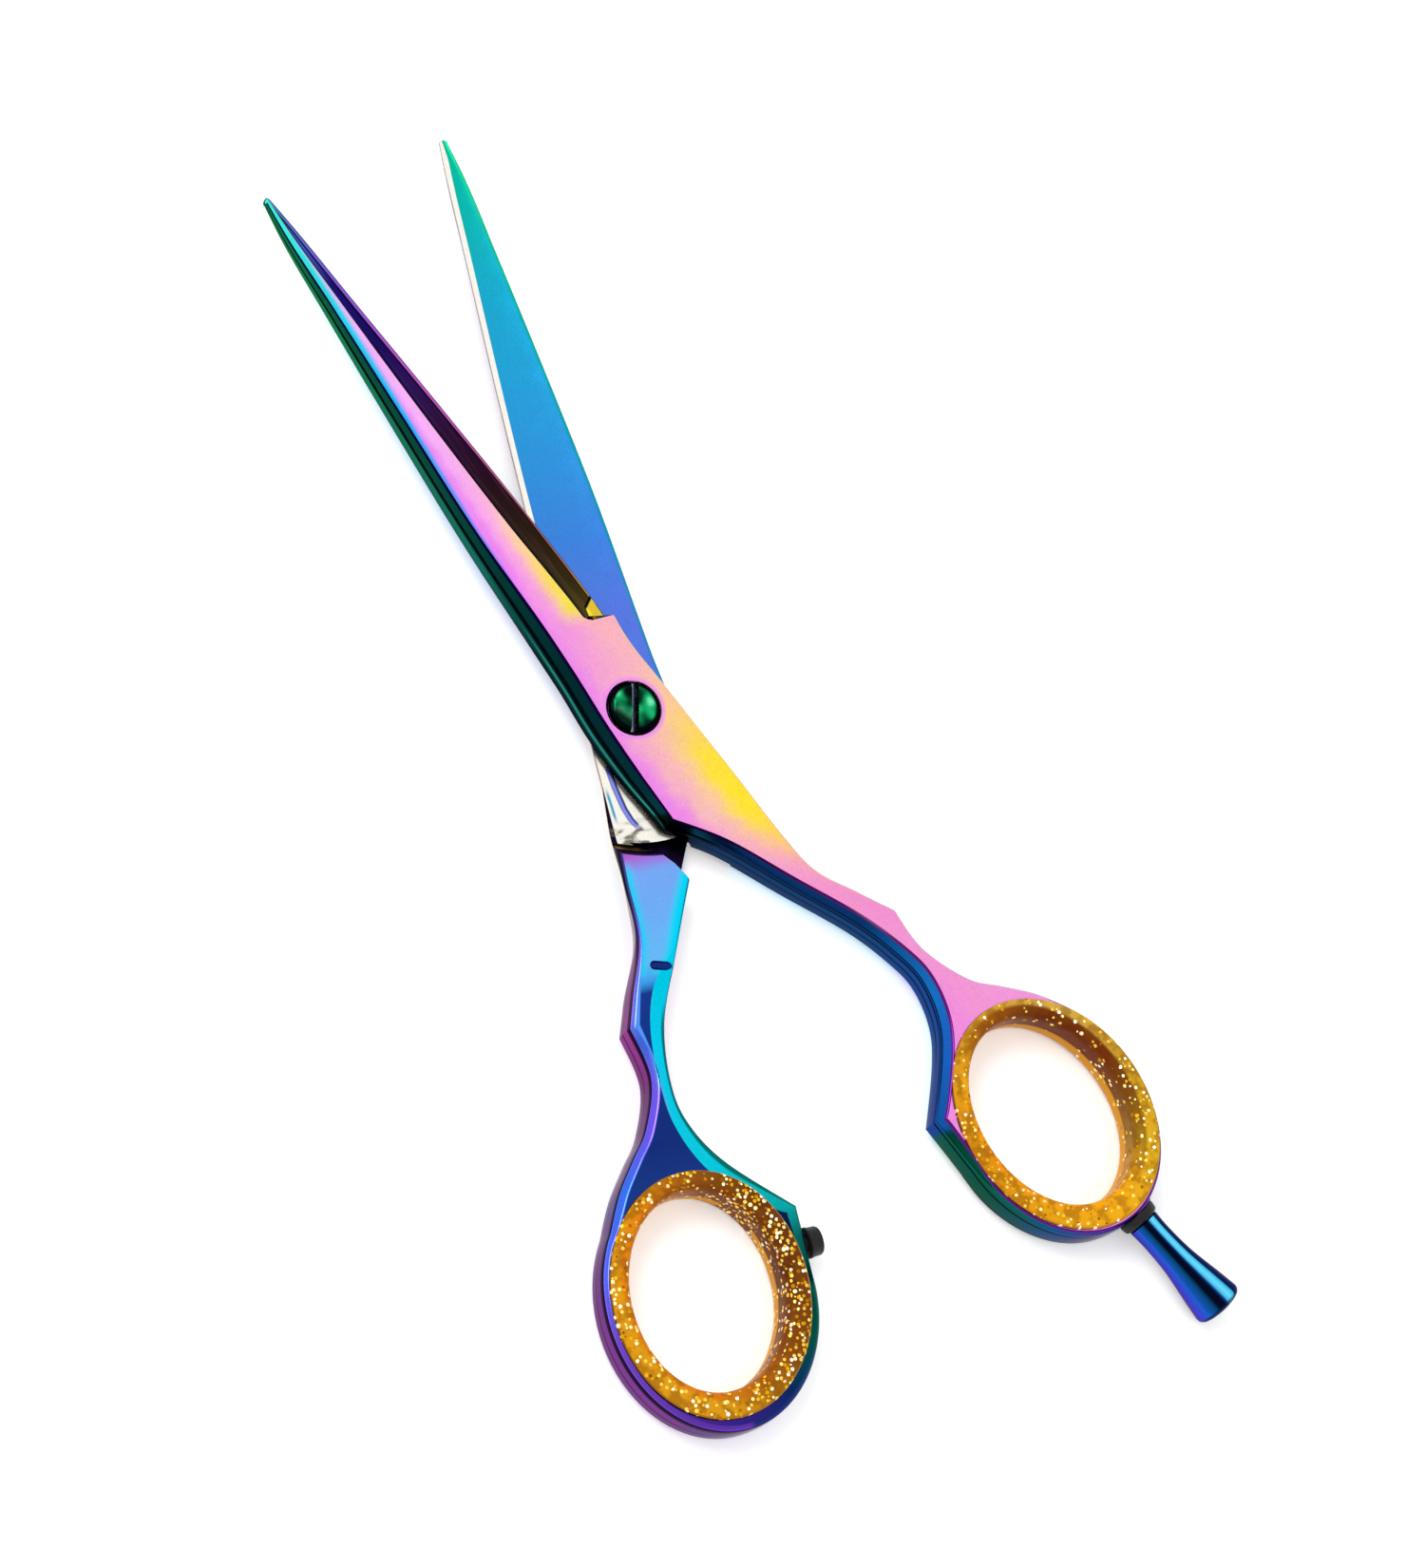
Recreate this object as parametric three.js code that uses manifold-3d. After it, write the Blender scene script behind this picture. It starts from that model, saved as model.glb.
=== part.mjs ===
// Hair shears, 6.5 inch: two forged halves on a slotted pivot screw, ring inserts, a closing
// bumper and a screw-in finger rest. Millimetres, +Z up. The origin is on the pivot axis at the
// level of the table. +Y runs between the two blades toward their tips.
import * as THREE from 'three';
import { mergeVertices } from 'three/addons/utils/BufferGeometryUtils.js';
import Module from 'manifold-3d';

// ---- driving dimensions ------------------------------------------------------------------
const OPENING = 18.64 * Math.PI / 180;   // angle between the two blades as modelled
const CONTACT_Z = 3.3;                   // plane where the two blades meet
const HALF_GAP = 0.15;                   // each blade stays this far from the contact plane
const PLATE_TOP = 2.9;                   // outer face of a half, above the contact plane
const HANDLE_BOTTOM = -2.8;              // the handle also reaches this far past that plane
const HANDLE_EDGE = { inset: 0.5, drop: 0.7 };   // chamfer all round the handle
const STEP_RADIUS = 17.2;                // the handle is full height outside this radius
const FIT_GAP = 0.1;                     // clearance between parts that touch
const INSERT_GAP = 0.15;                 // clearance between an insert's waist and the steel
const THROUGH = 4;                       // a cut this far from the contact plane goes right through
const HANDLE_START = { left: -4.7, right: 6.4, y: -12 };   // where the handle overlaps the blade
const CORNER = { left: -9, right: 7, top: -10 };           // sides of the corner cut away there
const CORNER_OVERLAP = 0.4;              // the corner's cut reaches this far inside the step

const SCREW = { headRadius: 3.2, shankRadius: 2.0, underHead: 5.6, slotWidth: 0.9, slotDepth: 0.7 };
const SCREW_CROWN = { shoulder: 0.45, rise: 0.12, inset: 0.35, flat: 2.1 };
const SCREW_TOP = 7.0;
const SLOT_ANGLE = -27.5 * Math.PI / 180;
const HEAD_RECESS = { radius: 3.5,  floor: 1.75 };       // in the outer face of the finger half
const SPRING_WASHER = { outer: 3.1, inner: 2.2, bottom: 5.12, thick: 0.25, dish: 0.12 };
const BUSH = { outer: 2.5, inner: 2.08, bottom: 3.8, top: 5.0 };
const GLIDE_WASHER = { outer: 4.6, inner: 2.15, thick: 0.5 };

const INSERT_TOP = 6.7;                  // insert height: it stands on the table
const INSERT_LIP = 0.4;                  // thickness of the lips over the steel
const LIP_SHIFT = 0.6;                   // the lips' outline is this much nearer to the ring's end
const BUMPER = { y: -69.65, gap: 0.3, head: 1.85, flange: 1.95, length: 2.2, stem: 1.0, stemLength: 1.7 };
const STEM_HOLE = { from: -0.5, to: 1.9 };                 // measured inward from the ring's face
const REST = { x: 17.8, y: -86.9, turn: 8.3 * Math.PI / 180, stud: 1.2, studLength: 3.4, length: 14.5 };
const REST_WASHER = { thick: 1.3, outer: 2.75, inner: 1.35 };
const REST_PAD = { radius: 2.7, from: -0.05, to: 1.45 };   // boss on the ring under that washer
const SPOT_FACE = { radius: 2.95, reach: 3 };              // clears the ring's curve beside the washer
const STUD_HOLE = { depth: 2.1, reach: 3 };                // into the ring from the washer's face

// Both halves are described outer face up, closed, with the tip on +Y and the cutting edge and
// the ring on the +X side. Blade stations from the pivot to the tip: the foot and the top of the
// spine, the crease where the hollow bevel starts, the edge, and the outer face above the
// contact plane. Where crease and edge agree, the side is a plain wall.
const BLADE_STATIONS = [
  { y: -15.0, foot: -5.3, top: -4.4, crease: 6.5, edge: 6.5, face: 2.9 },
  { y: -8.0, foot: -6.1, top: -4.5, crease: 6.1, edge: 6.1, face: 2.9 },
  { y: 0.0, foot: -6.4, top: -4.4, crease: 5.6, edge: 5.6, face: 2.9 },
  { y: 7.0, foot: -5.9, top: -4.0, crease: 5.1, edge: 5.1, face: 2.9 },
  { y: 12.2, foot: -5.7, top: -3.8, crease: 5.3, edge: 5.3, face: 2.9 },
  { y: 12.9, foot: -5.7, top: -3.8, crease: 1.5, edge: 5.3, face: 2.9 },
  { y: 29.0, foot: -5.1, top: -3.8, crease: 0.4, edge: 4.65, face: 2.7 },
  { y: 46.0, foot: -3.9, top: -2.8, crease: -0.2, edge: 3.45, face: 2.3 },
  { y: 63.0, foot: -2.5, top: -1.7, crease: -0.35, edge: 2.05, face: 1.7 },
  { y: 75.0, foot: -1.4, top: -1.0, crease: -0.3, edge: 1.1, face: 1.2 },
  { y: 80.0, foot: -0.6, top: -0.35, crease: 0.0, edge: 0.55, face: 0.85 },
];
const EDGE_LAND = 0.35;                  // height of the small bevel at the cutting edge
const BEVEL_HOLLOW = 0.22;               // how far the large bevel is hollowed
const INNER_HOLLOW = 0.25;               // hollow of the inner face, as a share of the ride's width
const RIDE_SHARE = 0.12;                 // width of the flat along the edge, as a share of the blade
const LAND_WIDTH = 0.25;                 // width of the small bevel
const SPINE_TOP = 2;                     // number of a section's point on top of the spine

// Each side of a handle is a run of curves through a few points; the right side has a corner
// where its two runs meet. A ring is an ellipse: centre, half axes, and the turn of its long
// axis. clearance is the line of the other half's shank when the shears are closed, and corner
// is the height up to which this half is cut away beside that line.
const FINGER = {
  left: [[-5.3, -14.7], [-0.6, -20.6], [3.9, -29.2], [8.4, -37.7], [10.6, -43.8], [11.3, -48.2],
    [10.1, -53.2], [7.3, -57.4], [1.6, -63.4]],
  rightLow: [[22.9, -57.2], [19.8, -54.2], [16.5, -51.0], [13.8, -44.8], [13.7, -38.9]],
  rightHigh: [[10.7, -34.0], [7.9, -29.2], [7.0, -23.5], [6.5, -14.0]],
  ring: { x: 15.4, y: -71.2, rx: 13.3, ry: 16.2, turn: 0 },
  bore: { x: 15.45, y: -70.55, rx: 9.85, ry: 12.6, turn: 0 },
  arc: [Math.PI, 7.0],
  insert: { wall: 1.5, lip: 2.9 },
  clearance: [[5.9, -14.5], [3.1, -19.4], [1.2, -22.6]],
  corner: -1.7,
};
const THUMB = {
  left: [[-5.3, -14.7], [-2.2, -19.7], [1.6, -26.4], [5.1, -33.0], [8.4, -39.7], [9.8, -46.6],
    [9.3, -51.8], [6.2, -57.6], [-0.8, -65.1]],
  rightLow: [[20.9, -58.3], [17.9, -54.7], [15.1, -51.4], [12.6, -45.6], [13.3, -39.1]],
  rightHigh: [[11.5, -35.0], [8.7, -28.8], [8.1, -21.5], [7.2, -14.0]],
  ring: { x: 13.5, y: -73.4, rx: 13.6, ry: 16.4, turn: 0.07 },
  bore: { x: 13.75, y: -72.4, rx: 9.75, ry: 12.3, turn: 0.14 },
  arc: [Math.PI, 6.95],
  insert: { wall: 1.3, lip: 2.95 },
  clearance: [[5.8, -14.7], [1.1, -20.4], [-0.3, -22.9]],
  corner: 2.0,
};
const RING_SEGMENTS = 48;
const ROUND_SEGMENTS = 32;
const HOLE_SEGMENTS = 24;
const CURVE_SEGMENTS = 6;                // between two points of a handle's side

// ---- solids ------------------------------------------------------------------------------
const wasm = await Module();
wasm.setup();

function solid(geometry) {
  const plain = geometry.clone();
  plain.deleteAttribute('normal');
  plain.deleteAttribute('uv');
  const merged = mergeVertices(plain, 1e-4);
  return new wasm.Manifold(new wasm.Mesh({
    numProp: 3,
    vertProperties: new Float32Array(merged.attributes.position.array),
    triVerts: new Uint32Array(merged.index.array),
  }));
}

function geometryOf(manifold) {
  const mesh = manifold.getMesh();
  const geometry = new THREE.BufferGeometry();
  geometry.setAttribute('position', new THREE.BufferAttribute(mesh.vertProperties, 3));
  geometry.setIndex(new THREE.BufferAttribute(mesh.triVerts, 1));
  const flat = geometry.toNonIndexed();
  flat.computeVertexNormals();
  return flat;
}

// A cylinder on the Y axis from y = from to y = to.
function rod(radius, from, to, segments = HOLE_SEGMENTS) {
  const geometry = new THREE.CylinderGeometry(radius, radius, to - from, segments);
  return geometry.translate(0, (from + to) / 2, 0);
}

// An upright cylinder on the Z axis from z = bottom to z = top.
function upright(radius, bottom, top) {
  return rod(radius, bottom, top, ROUND_SEGMENTS).rotateX(Math.PI / 2);
}

// A body of revolution about Z from [radius, z] points.
function turned(points) {
  const profile = points.map(([radius, z]) => new THREE.Vector2(radius, z));
  return new THREE.LatheGeometry(profile, ROUND_SEGMENTS).rotateX(Math.PI / 2);
}

// Skins equal loops of points, one loop per station, into one closed body. Its two ends are
// fans of triangles around the loop's point number hub.
function loft(loops, hub) {
  const count = loops[0].length;
  const indices = [];
  for (let i = 0; i + 1 < loops.length; i += 1) {
    for (let j = 0; j < count; j += 1) {
      const k = (j + 1) % count;
      const [a, b, c, d] = [i * count + j, i * count + k, (i + 1) * count + j, (i + 1) * count + k];
      indices.push(a, b, c, b, d, c);
    }
  }
  const last = (loops.length - 1) * count;
  for (let j = 1; j + 1 < count; j += 1) {
    const b = (hub + j) % count;
    const c = (hub + j + 1) % count;
    indices.push(hub, c, b, last + hub, last + b, last + c);
  }
  const geometry = new THREE.BufferGeometry();
  geometry.setAttribute('position', new THREE.Float32BufferAttribute(loops.flat(2), 3));
  geometry.setIndex(indices);
  return geometry;
}

// ---- the two forged halves ---------------------------------------------------------------
// One section of the blade: spine, outer face, bevel, edge, and the hollow inner face.
function bladeSection({ y, foot, top, crease, edge, face }) {
  const beveled = edge > crease;
  const land = beveled ? LAND_WIDTH : 0;
  const sag = beveled ? BEVEL_HOLLOW : 0;
  const landTop = HALF_GAP + EDGE_LAND;
  const ride = (edge - foot) * RIDE_SHARE;
  return [
    [foot, y, HALF_GAP],
    [foot, y, HALF_GAP + (face - HALF_GAP) * 0.3],
    [top, y, face],
    [crease, y, face],
    [(crease + edge - land) / 2, y, (face + landTop) / 2 - sag],
    [edge - land, y, landTop],
    [edge, y, HALF_GAP],
    [edge - ride, y, HALF_GAP],
    [(edge + foot) / 2, y, HALF_GAP + (beveled ? INNER_HOLLOW * ride : 0)],
  ];
}

function ellipsePoint({ x, y, rx, ry, turn }, angle, offset = 0) {
  const direction = new THREE.Vector2(Math.cos(angle) / rx, Math.sin(angle) / ry).normalize();
  const point = new THREE.Vector2(rx * Math.cos(angle), ry * Math.sin(angle));
  point.addScaledVector(direction, offset);
  point.rotateAround(new THREE.Vector2(), turn);
  return point.add(new THREE.Vector2(x, y));
}

// Plan outline of shank and ring: down the left side, round the ring, up the right side.
function handleShape({ left, rightLow, rightHigh, ring, arc }) {
  const path = new THREE.Path();
  path.moveTo(HANDLE_START.left, HANDLE_START.y);
  path.lineTo(...left[0]);
  path.splineThru(left.slice(1).map((p) => new THREE.Vector2(...p)));
  path.absellipse(ring.x, ring.y, ring.rx, ring.ry, arc[0], arc[1], false, ring.turn);
  path.splineThru(rightLow.map((p) => new THREE.Vector2(...p)));
  path.splineThru(rightHigh.map((p) => new THREE.Vector2(...p)));
  path.lineTo(HANDLE_START.right, HANDLE_START.y);
  const points = path.getPoints(CURVE_SEGMENTS);
  return new THREE.Shape(points.filter((p, i) => i === 0 || p.distanceTo(points[i - 1]) > 0.05));
}

function ellipseShape(ellipse, offset) {
  const points = [];
  for (let i = 0; i < RING_SEGMENTS; i += 1) {
    points.push(ellipsePoint(ellipse, (i / RING_SEGMENTS) * 2 * Math.PI, offset));
  }
  return new THREE.Shape(points);
}

function slab(shape, bottom, top) {
  return new THREE.ExtrudeGeometry(shape, { depth: top - bottom, bevelEnabled: false })
    .translate(0, 0, bottom);
}

// The hole in a ring that its insert's waist goes through.
function insertHole({ bore, insert }) {
  return solid(slab(ellipseShape(bore, insert.wall + INSERT_GAP), -THROUGH, THROUGH));
}

function handleSolid(half) {
  const { inset, drop } = HANDLE_EDGE;
  const geometry = new THREE.ExtrudeGeometry(handleShape(half), {
    depth: PLATE_TOP - HANDLE_BOTTOM - 2 * drop,
    bevelEnabled: true,
    bevelThickness: drop,
    bevelSize: inset,
    bevelOffset: -inset,
    bevelSegments: 1,
  });
  return solid(geometry.translate(0, 0, HANDLE_BOTTOM + drop));
}

// The space that the other half sweeps and rests in, on the far side of the contact plane. Beside
// the step the two shanks cross in plan when closed, so there each half gives way to the other
// at its own height.
function reliefSolid(half) {
  const { left, right, top } = CORNER;
  const corner = [[left, top], [right, top], ...half.clearance, [left, half.clearance.at(-1)[1]]];
  const shape = new THREE.Shape(corner.map((p) => new THREE.Vector2(...p)));
  const notch = solid(slab(shape, -THROUGH, half.corner));
  return notch.subtract(solid(upright(STEP_RADIUS - CORNER_OVERLAP, -THROUGH - 1, THROUGH)))
    .add(solid(upright(STEP_RADIUS, -THROUGH, HALF_GAP)));
}

function forgedHalf(half) {
  const washerPocket = upright(GLIDE_WASHER.outer + FIT_GAP, 0, GLIDE_WASHER.thick / 2 + FIT_GAP);
  return handleSolid(half)
    .add(solid(loft(BLADE_STATIONS.map(bladeSection), SPINE_TOP)))
    .subtract(reliefSolid(half))
    .subtract(solid(washerPocket))
    .subtract(insertHole(half));
}

// The rest's own frame has its origin on the ring's face and +Y into the ring.
function placeOnRest(geometry) {
  return geometry.rotateZ(REST.turn).translate(REST.x, REST.y, 0);
}

function fingerBlade() {
  const pad = placeOnRest(rod(REST_PAD.radius, REST_PAD.from, REST_PAD.to, ROUND_SEGMENTS));
  const spotFace = placeOnRest(rod(SPOT_FACE.radius, -SPOT_FACE.reach, REST_PAD.from, ROUND_SEGMENTS));
  const studHole = placeOnRest(rod(REST.stud + FIT_GAP, -STUD_HOLE.reach, STUD_HOLE.depth));
  const blade = forgedHalf(FINGER)
    .add(solid(pad).subtract(insertHole(FINGER)))
    .subtract(solid(spotFace))
    .subtract(solid(studHole))
    .subtract(solid(upright(BUSH.outer + FIT_GAP, -THROUGH, THROUGH)))
    .subtract(solid(upright(HEAD_RECESS.radius, HEAD_RECESS.floor, THROUGH)));
  return geometryOf(blade);
}

// The facet beside the thumb ring's corner carries the bumper; x is the steel face there.
function bumperFaceX() {
  const [cornerX, cornerY] = THUMB.left.at(-1);
  const side = ellipsePoint(THUMB.ring, Math.PI);
  return cornerX + (side.x - cornerX) * (BUMPER.y - cornerY) / (side.y - cornerY);
}

function thumbBlade() {
  const stemHole = rod(BUMPER.stem + FIT_GAP, STEM_HOLE.from, STEM_HOLE.to).rotateZ(-Math.PI / 2);
  const blade = forgedHalf(THUMB)
    .subtract(solid(upright(SCREW.shankRadius + FIT_GAP, -THROUGH, THROUGH)))
    .subtract(solid(stemHole.translate(bumperFaceX(), BUMPER.y, 0)));
  return geometryOf(blade);
}

// ---- pivot parts, in heights above the table ---------------------------------------------
function pivotScrew() {
  const { headRadius, shankRadius, underHead, slotWidth, slotDepth } = SCREW;
  const { shoulder, rise, inset, flat } = SCREW_CROWN;
  const body = turned([[0, 0], [shankRadius - 0.25, 0], [shankRadius, 0.25], [shankRadius, underHead],
    [headRadius, underHead], [headRadius, SCREW_TOP - shoulder], [headRadius - inset, SCREW_TOP - rise],
    [flat, SCREW_TOP], [0, SCREW_TOP]]);
  const slot = new THREE.BoxGeometry(slotWidth, 3 * headRadius, 2 * slotDepth);
  slot.rotateZ(SLOT_ANGLE).translate(0, 0, SCREW_TOP);
  return geometryOf(solid(body).subtract(solid(slot)));
}

function springWasher() {
  const { outer, inner, bottom, thick, dish } = SPRING_WASHER;
  return turned([[inner, bottom + dish], [outer, bottom], [outer, bottom + thick],
    [inner, bottom + dish + thick], [inner, bottom + dish]]);
}

function pivotBush() {
  const { outer, inner, bottom, top } = BUSH;
  return turned([[inner, bottom], [outer, bottom], [outer, top], [inner, top], [inner, bottom]]);
}

function glideWasher() {
  const { outer, inner, thick } = GLIDE_WASHER;
  const [low, high] = [CONTACT_Z - thick / 2, CONTACT_Z + thick / 2];
  return turned([[inner, low], [outer, low], [outer, high], [inner, high], [inner, low]]);
}

// ---- soft parts and the finger rest ------------------------------------------------------
// A soft ring with a waist inside the steel and a lip over each face of it.
function ringInsert({ bore, insert }) {
  const { wall, lip } = insert;
  const lowLip = INSERT_LIP;
  const highLip = INSERT_TOP - INSERT_LIP;
  const profile = [[0, 1.1], [0.25, 0.35], [0.9, 0], [lip - 0.25, 0], [lip, lowLip], [wall, lowLip],
    [wall, highLip], [lip, highLip], [lip - 0.25, INSERT_TOP], [0.9, INSERT_TOP],
    [0.25, INSERT_TOP - 0.35], [0, INSERT_TOP - 1.1]];
  const points = [];
  const indices = [];
  const count = profile.length;
  for (let i = 0; i < RING_SEGMENTS; i += 1) {
    const next = (i + 1) % RING_SEGMENTS;
    profile.forEach(([offset, z], j) => {
      const point = ellipsePoint(bore, (i / RING_SEGMENTS) * 2 * Math.PI, offset);
      const shift = LIP_SHIFT * Math.max(0, offset - wall) / (lip - wall);
      points.push(point.x, point.y - shift, z - CONTACT_Z);
      const k = (j + 1) % count;
      const [a, b, c, d] = [i * count + j, i * count + k, next * count + j, next * count + k];
      indices.push(a, c, b, b, c, d);
    });
  }
  const geometry = new THREE.BufferGeometry();
  geometry.setAttribute('position', new THREE.Float32BufferAttribute(points, 3));
  geometry.setIndex(indices);
  return geometry;
}

// Turned pieces of the rest are made along +Z, then laid along the rest's direction.
function layAlongRest(geometry) {
  return placeOnRest(geometry.rotateX(Math.PI / 2));
}

function fingerRest() {
  const { stud, studLength, length } = REST;
  const base = REST_WASHER.thick + 2 * FIT_GAP;
  const flank = new THREE.SplineCurve([[2.1, 0], [2.0, 3], [2.2, 6.5], [2.9, 11], [3.25, length - 0.9]]
    .map(([radius, z]) => new THREE.Vector2(radius, base + z)));
  const points = [[0, base - studLength], [stud, base - studLength], [stud, base],
    ...flank.getPoints(9).map((p) => [p.x, p.y]),
    [3.1, base + length - 0.4], [2.3, base + length - 0.1], [0, base + length]];
  return layAlongRest(turned(points));
}

function restWasher() {
  const { thick, outer, inner } = REST_WASHER;
  const bottom = FIT_GAP;
  const top = bottom + thick;
  return layAlongRest(turned([[inner, bottom], [outer, bottom], [outer, bottom + 0.5],
    [outer - 0.55, top], [inner, top], [inner, bottom]]));
}

function bumper() {
  const { head, flange, stem, length, stemLength } = BUMPER;
  const body = turned([[0, -stemLength], [stem, -stemLength], [stem, 0], [flange, 0], [flange, 0.45],
    [head, 0.6], [head, length - 0.35], [head - 0.4, length], [0, length]]);
  return body.rotateY(-Math.PI / 2).translate(bumperFaceX() - BUMPER.gap, BUMPER.y, 0);
}

// ---- assembly ----------------------------------------------------------------------------
function part(name, geometry, color, roughness, metalness) {
  const material = new THREE.MeshStandardMaterial({ color, roughness, metalness });
  const mesh = new THREE.Mesh(geometry, material);
  mesh.name = name;
  return mesh;
}

const fingerHalf = new THREE.Group();
fingerHalf.rotation.z = OPENING / 2;
fingerHalf.position.z = CONTACT_Z;
fingerHalf.add(
  part('finger_blade', fingerBlade(), 0xe07cc8, 0.2, 1),
  part('finger_ring_insert', ringInsert(FINGER), 0xd79a1c, 0.3, 0),
  part('finger_rest_washer', restWasher(), 0x17151a, 0.7, 0),
  part('finger_rest', fingerRest(), 0x1c4fae, 0.2, 1),
);

// The thumb half is turned over, so its outer face looks down.
const thumbHalf = new THREE.Group();
thumbHalf.rotation.set(0, Math.PI, -OPENING / 2, 'ZYX');
thumbHalf.position.z = CONTACT_Z;
thumbHalf.add(
  part('thumb_blade', thumbBlade(), 0x2aa0dc, 0.2, 1),
  part('thumb_ring_insert', ringInsert(THUMB).translate(0, 0, 2 * CONTACT_Z - INSERT_TOP), 0xd79a1c, 0.3, 0),
  part('bumper', bumper(), 0x111111, 0.8, 0),
);

const pivot = new THREE.Group();
pivot.add(
  part('pivot_screw', pivotScrew(), 0x0a6b3e, 0.15, 1),
  part('spring_washer', springWasher(), 0x9a9a9a, 0.3, 1),
  part('pivot_bush', pivotBush(), 0xe8e4d8, 0.6, 0),
  part('glide_washer', glideWasher(), 0xe8e4d8, 0.6, 0),
);

const shears = new THREE.Group();
shears.add(fingerHalf, thumbHalf, pivot);
export default shears;
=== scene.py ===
"""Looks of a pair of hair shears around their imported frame.

A forged half is worked out in millimetres in its own frame: outer face up, blades closed, tip on
+Y, cutting edge and ring on the +X side, z = 0 where the two halves meet.
"""
import math

import bpy
import numpy as np
from mathutils import Matrix, Vector


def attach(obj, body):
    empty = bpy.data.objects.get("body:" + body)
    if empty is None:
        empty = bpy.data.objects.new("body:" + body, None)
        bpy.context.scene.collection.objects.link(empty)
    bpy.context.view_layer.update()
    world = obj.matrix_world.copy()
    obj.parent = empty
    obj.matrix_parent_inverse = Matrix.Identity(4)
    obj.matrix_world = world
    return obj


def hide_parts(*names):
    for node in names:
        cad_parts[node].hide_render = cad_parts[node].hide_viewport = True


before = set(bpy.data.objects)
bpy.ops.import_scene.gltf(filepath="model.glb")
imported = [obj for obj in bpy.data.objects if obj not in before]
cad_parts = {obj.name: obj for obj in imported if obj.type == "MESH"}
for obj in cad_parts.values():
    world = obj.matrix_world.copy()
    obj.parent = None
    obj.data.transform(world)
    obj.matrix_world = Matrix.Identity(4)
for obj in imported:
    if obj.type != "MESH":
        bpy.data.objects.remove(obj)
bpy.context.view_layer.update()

# ---- driving dimensions, in millimetres and radians --------------------------------------------
MM = 0.001
OPENING = math.radians(18.64)
CONTACT_Z = 3.3
HALF_GAP = 0.15
OUTER_Z = 2.9
INNER_Z = -2.8
THROUGH = 6.0
STEP_FOOT = 16.9
STEP_TOP = 19.2
HANDLE_END_Y = -8.0
TIP_Y = 79.2
RUN_STEP = 0.6

# Blade stations: y, foot and top of the spine, crease of the large bevel, edge, outer face.
BLADE = np.array([
    (-15.0, -5.3, -4.4, 1.9, 6.5, 2.9),
    (-8.0, -6.1, -4.5, 1.8, 6.1, 2.9),
    (0.0, -6.4, -4.4, 1.7, 5.6, 2.9),
    (7.0, -5.9, -4.0, 1.6, 5.1, 2.9),
    (12.5, -5.7, -3.8, 1.5, 5.3, 2.9),
    (29.0, -5.1, -3.8, 0.4, 4.65, 2.7),
    (46.0, -3.9, -2.8, -0.2, 3.45, 2.3),
    (63.0, -2.5, -1.7, -0.35, 2.05, 1.7),
    (75.0, -1.4, -1.0, -0.3, 1.1, 1.2),
    (80.0, -0.6, -0.35, 0.0, 0.55, 0.85),
])
FOOT, TOP, CREASE, EDGE, FACE = 1, 2, 3, 4, 5
SPINE_WALL_SHARE = 0.3
LAND = (0.25, 0.35)
BEVEL_SAG = 0.24
BEVEL_STEPS = 34
BLADE_ROWS = 150
TIP_POINTS = 7
TIP_REACH = 0.75
JOIN_ROWS = 8
CORE_RADIUS = 16.6
STRIP_WIDTH = 0.9
INNER_SAG = 0.28
# End of the large bevel, from its crease to the edge: a small hook, then a step.
HOOK = np.array([(1.4, 13.4), (1.6, 12.6), (1.85, 12.2), (2.15, 12.35), (2.35, 12.9), (2.55, 13.0),
                 (2.75, 12.3), (3.0, 11.8), (4.6, 11.6), (5.0, 11.3), (5.6, 10.9)])
RECESS = {"radius": 3.5, "floor": 1.75, "flare": 0.14}
INSERT_TOP = 6.7
LIP_SHIFT = 0.6
SLOT_TURN = math.radians(-27.5)
BUMPER_Y = -69.65
REST = {"foot": (17.8, -86.9, 0), "lean": math.radians(8.3), "stud": 1.9,
        "flank": [(2.1, 1.5), (2.0, 4.0), (2.2, 8.0), (2.9, 12.5), (3.27, 15.0)]}
# Colours round the finger rest, by angle in radians: the blue coating with painted reflections, a pale cyan
# highlight and near-black bands.
REST_COLOURS = {-3.14: 0x4234b4, -3.0: 0x5030b2, -2.75: 0x14165a, -2.0: 0x0a1946,
                0.4: 0x061e3c, 0.9: 0x081a4c, 1.16: 0x0a1854, 1.24: 0x3abee8,
                1.45: 0x6edefc, 1.62: 0x46bef0, 1.71: 0x0c326e, 1.82: 0x080824,
                2.08: 0x040e1e, 2.24: 0x0a4678, 2.5: 0x1254ac, 2.85: 0x2842b2,
                3.14: 0x4234b4}
GROOVE = {"x": 6.6, "y": -32.6, "reach": 1.8, "radius": 0.6, "depth": 0.45, "turn": math.radians(17)}

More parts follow.
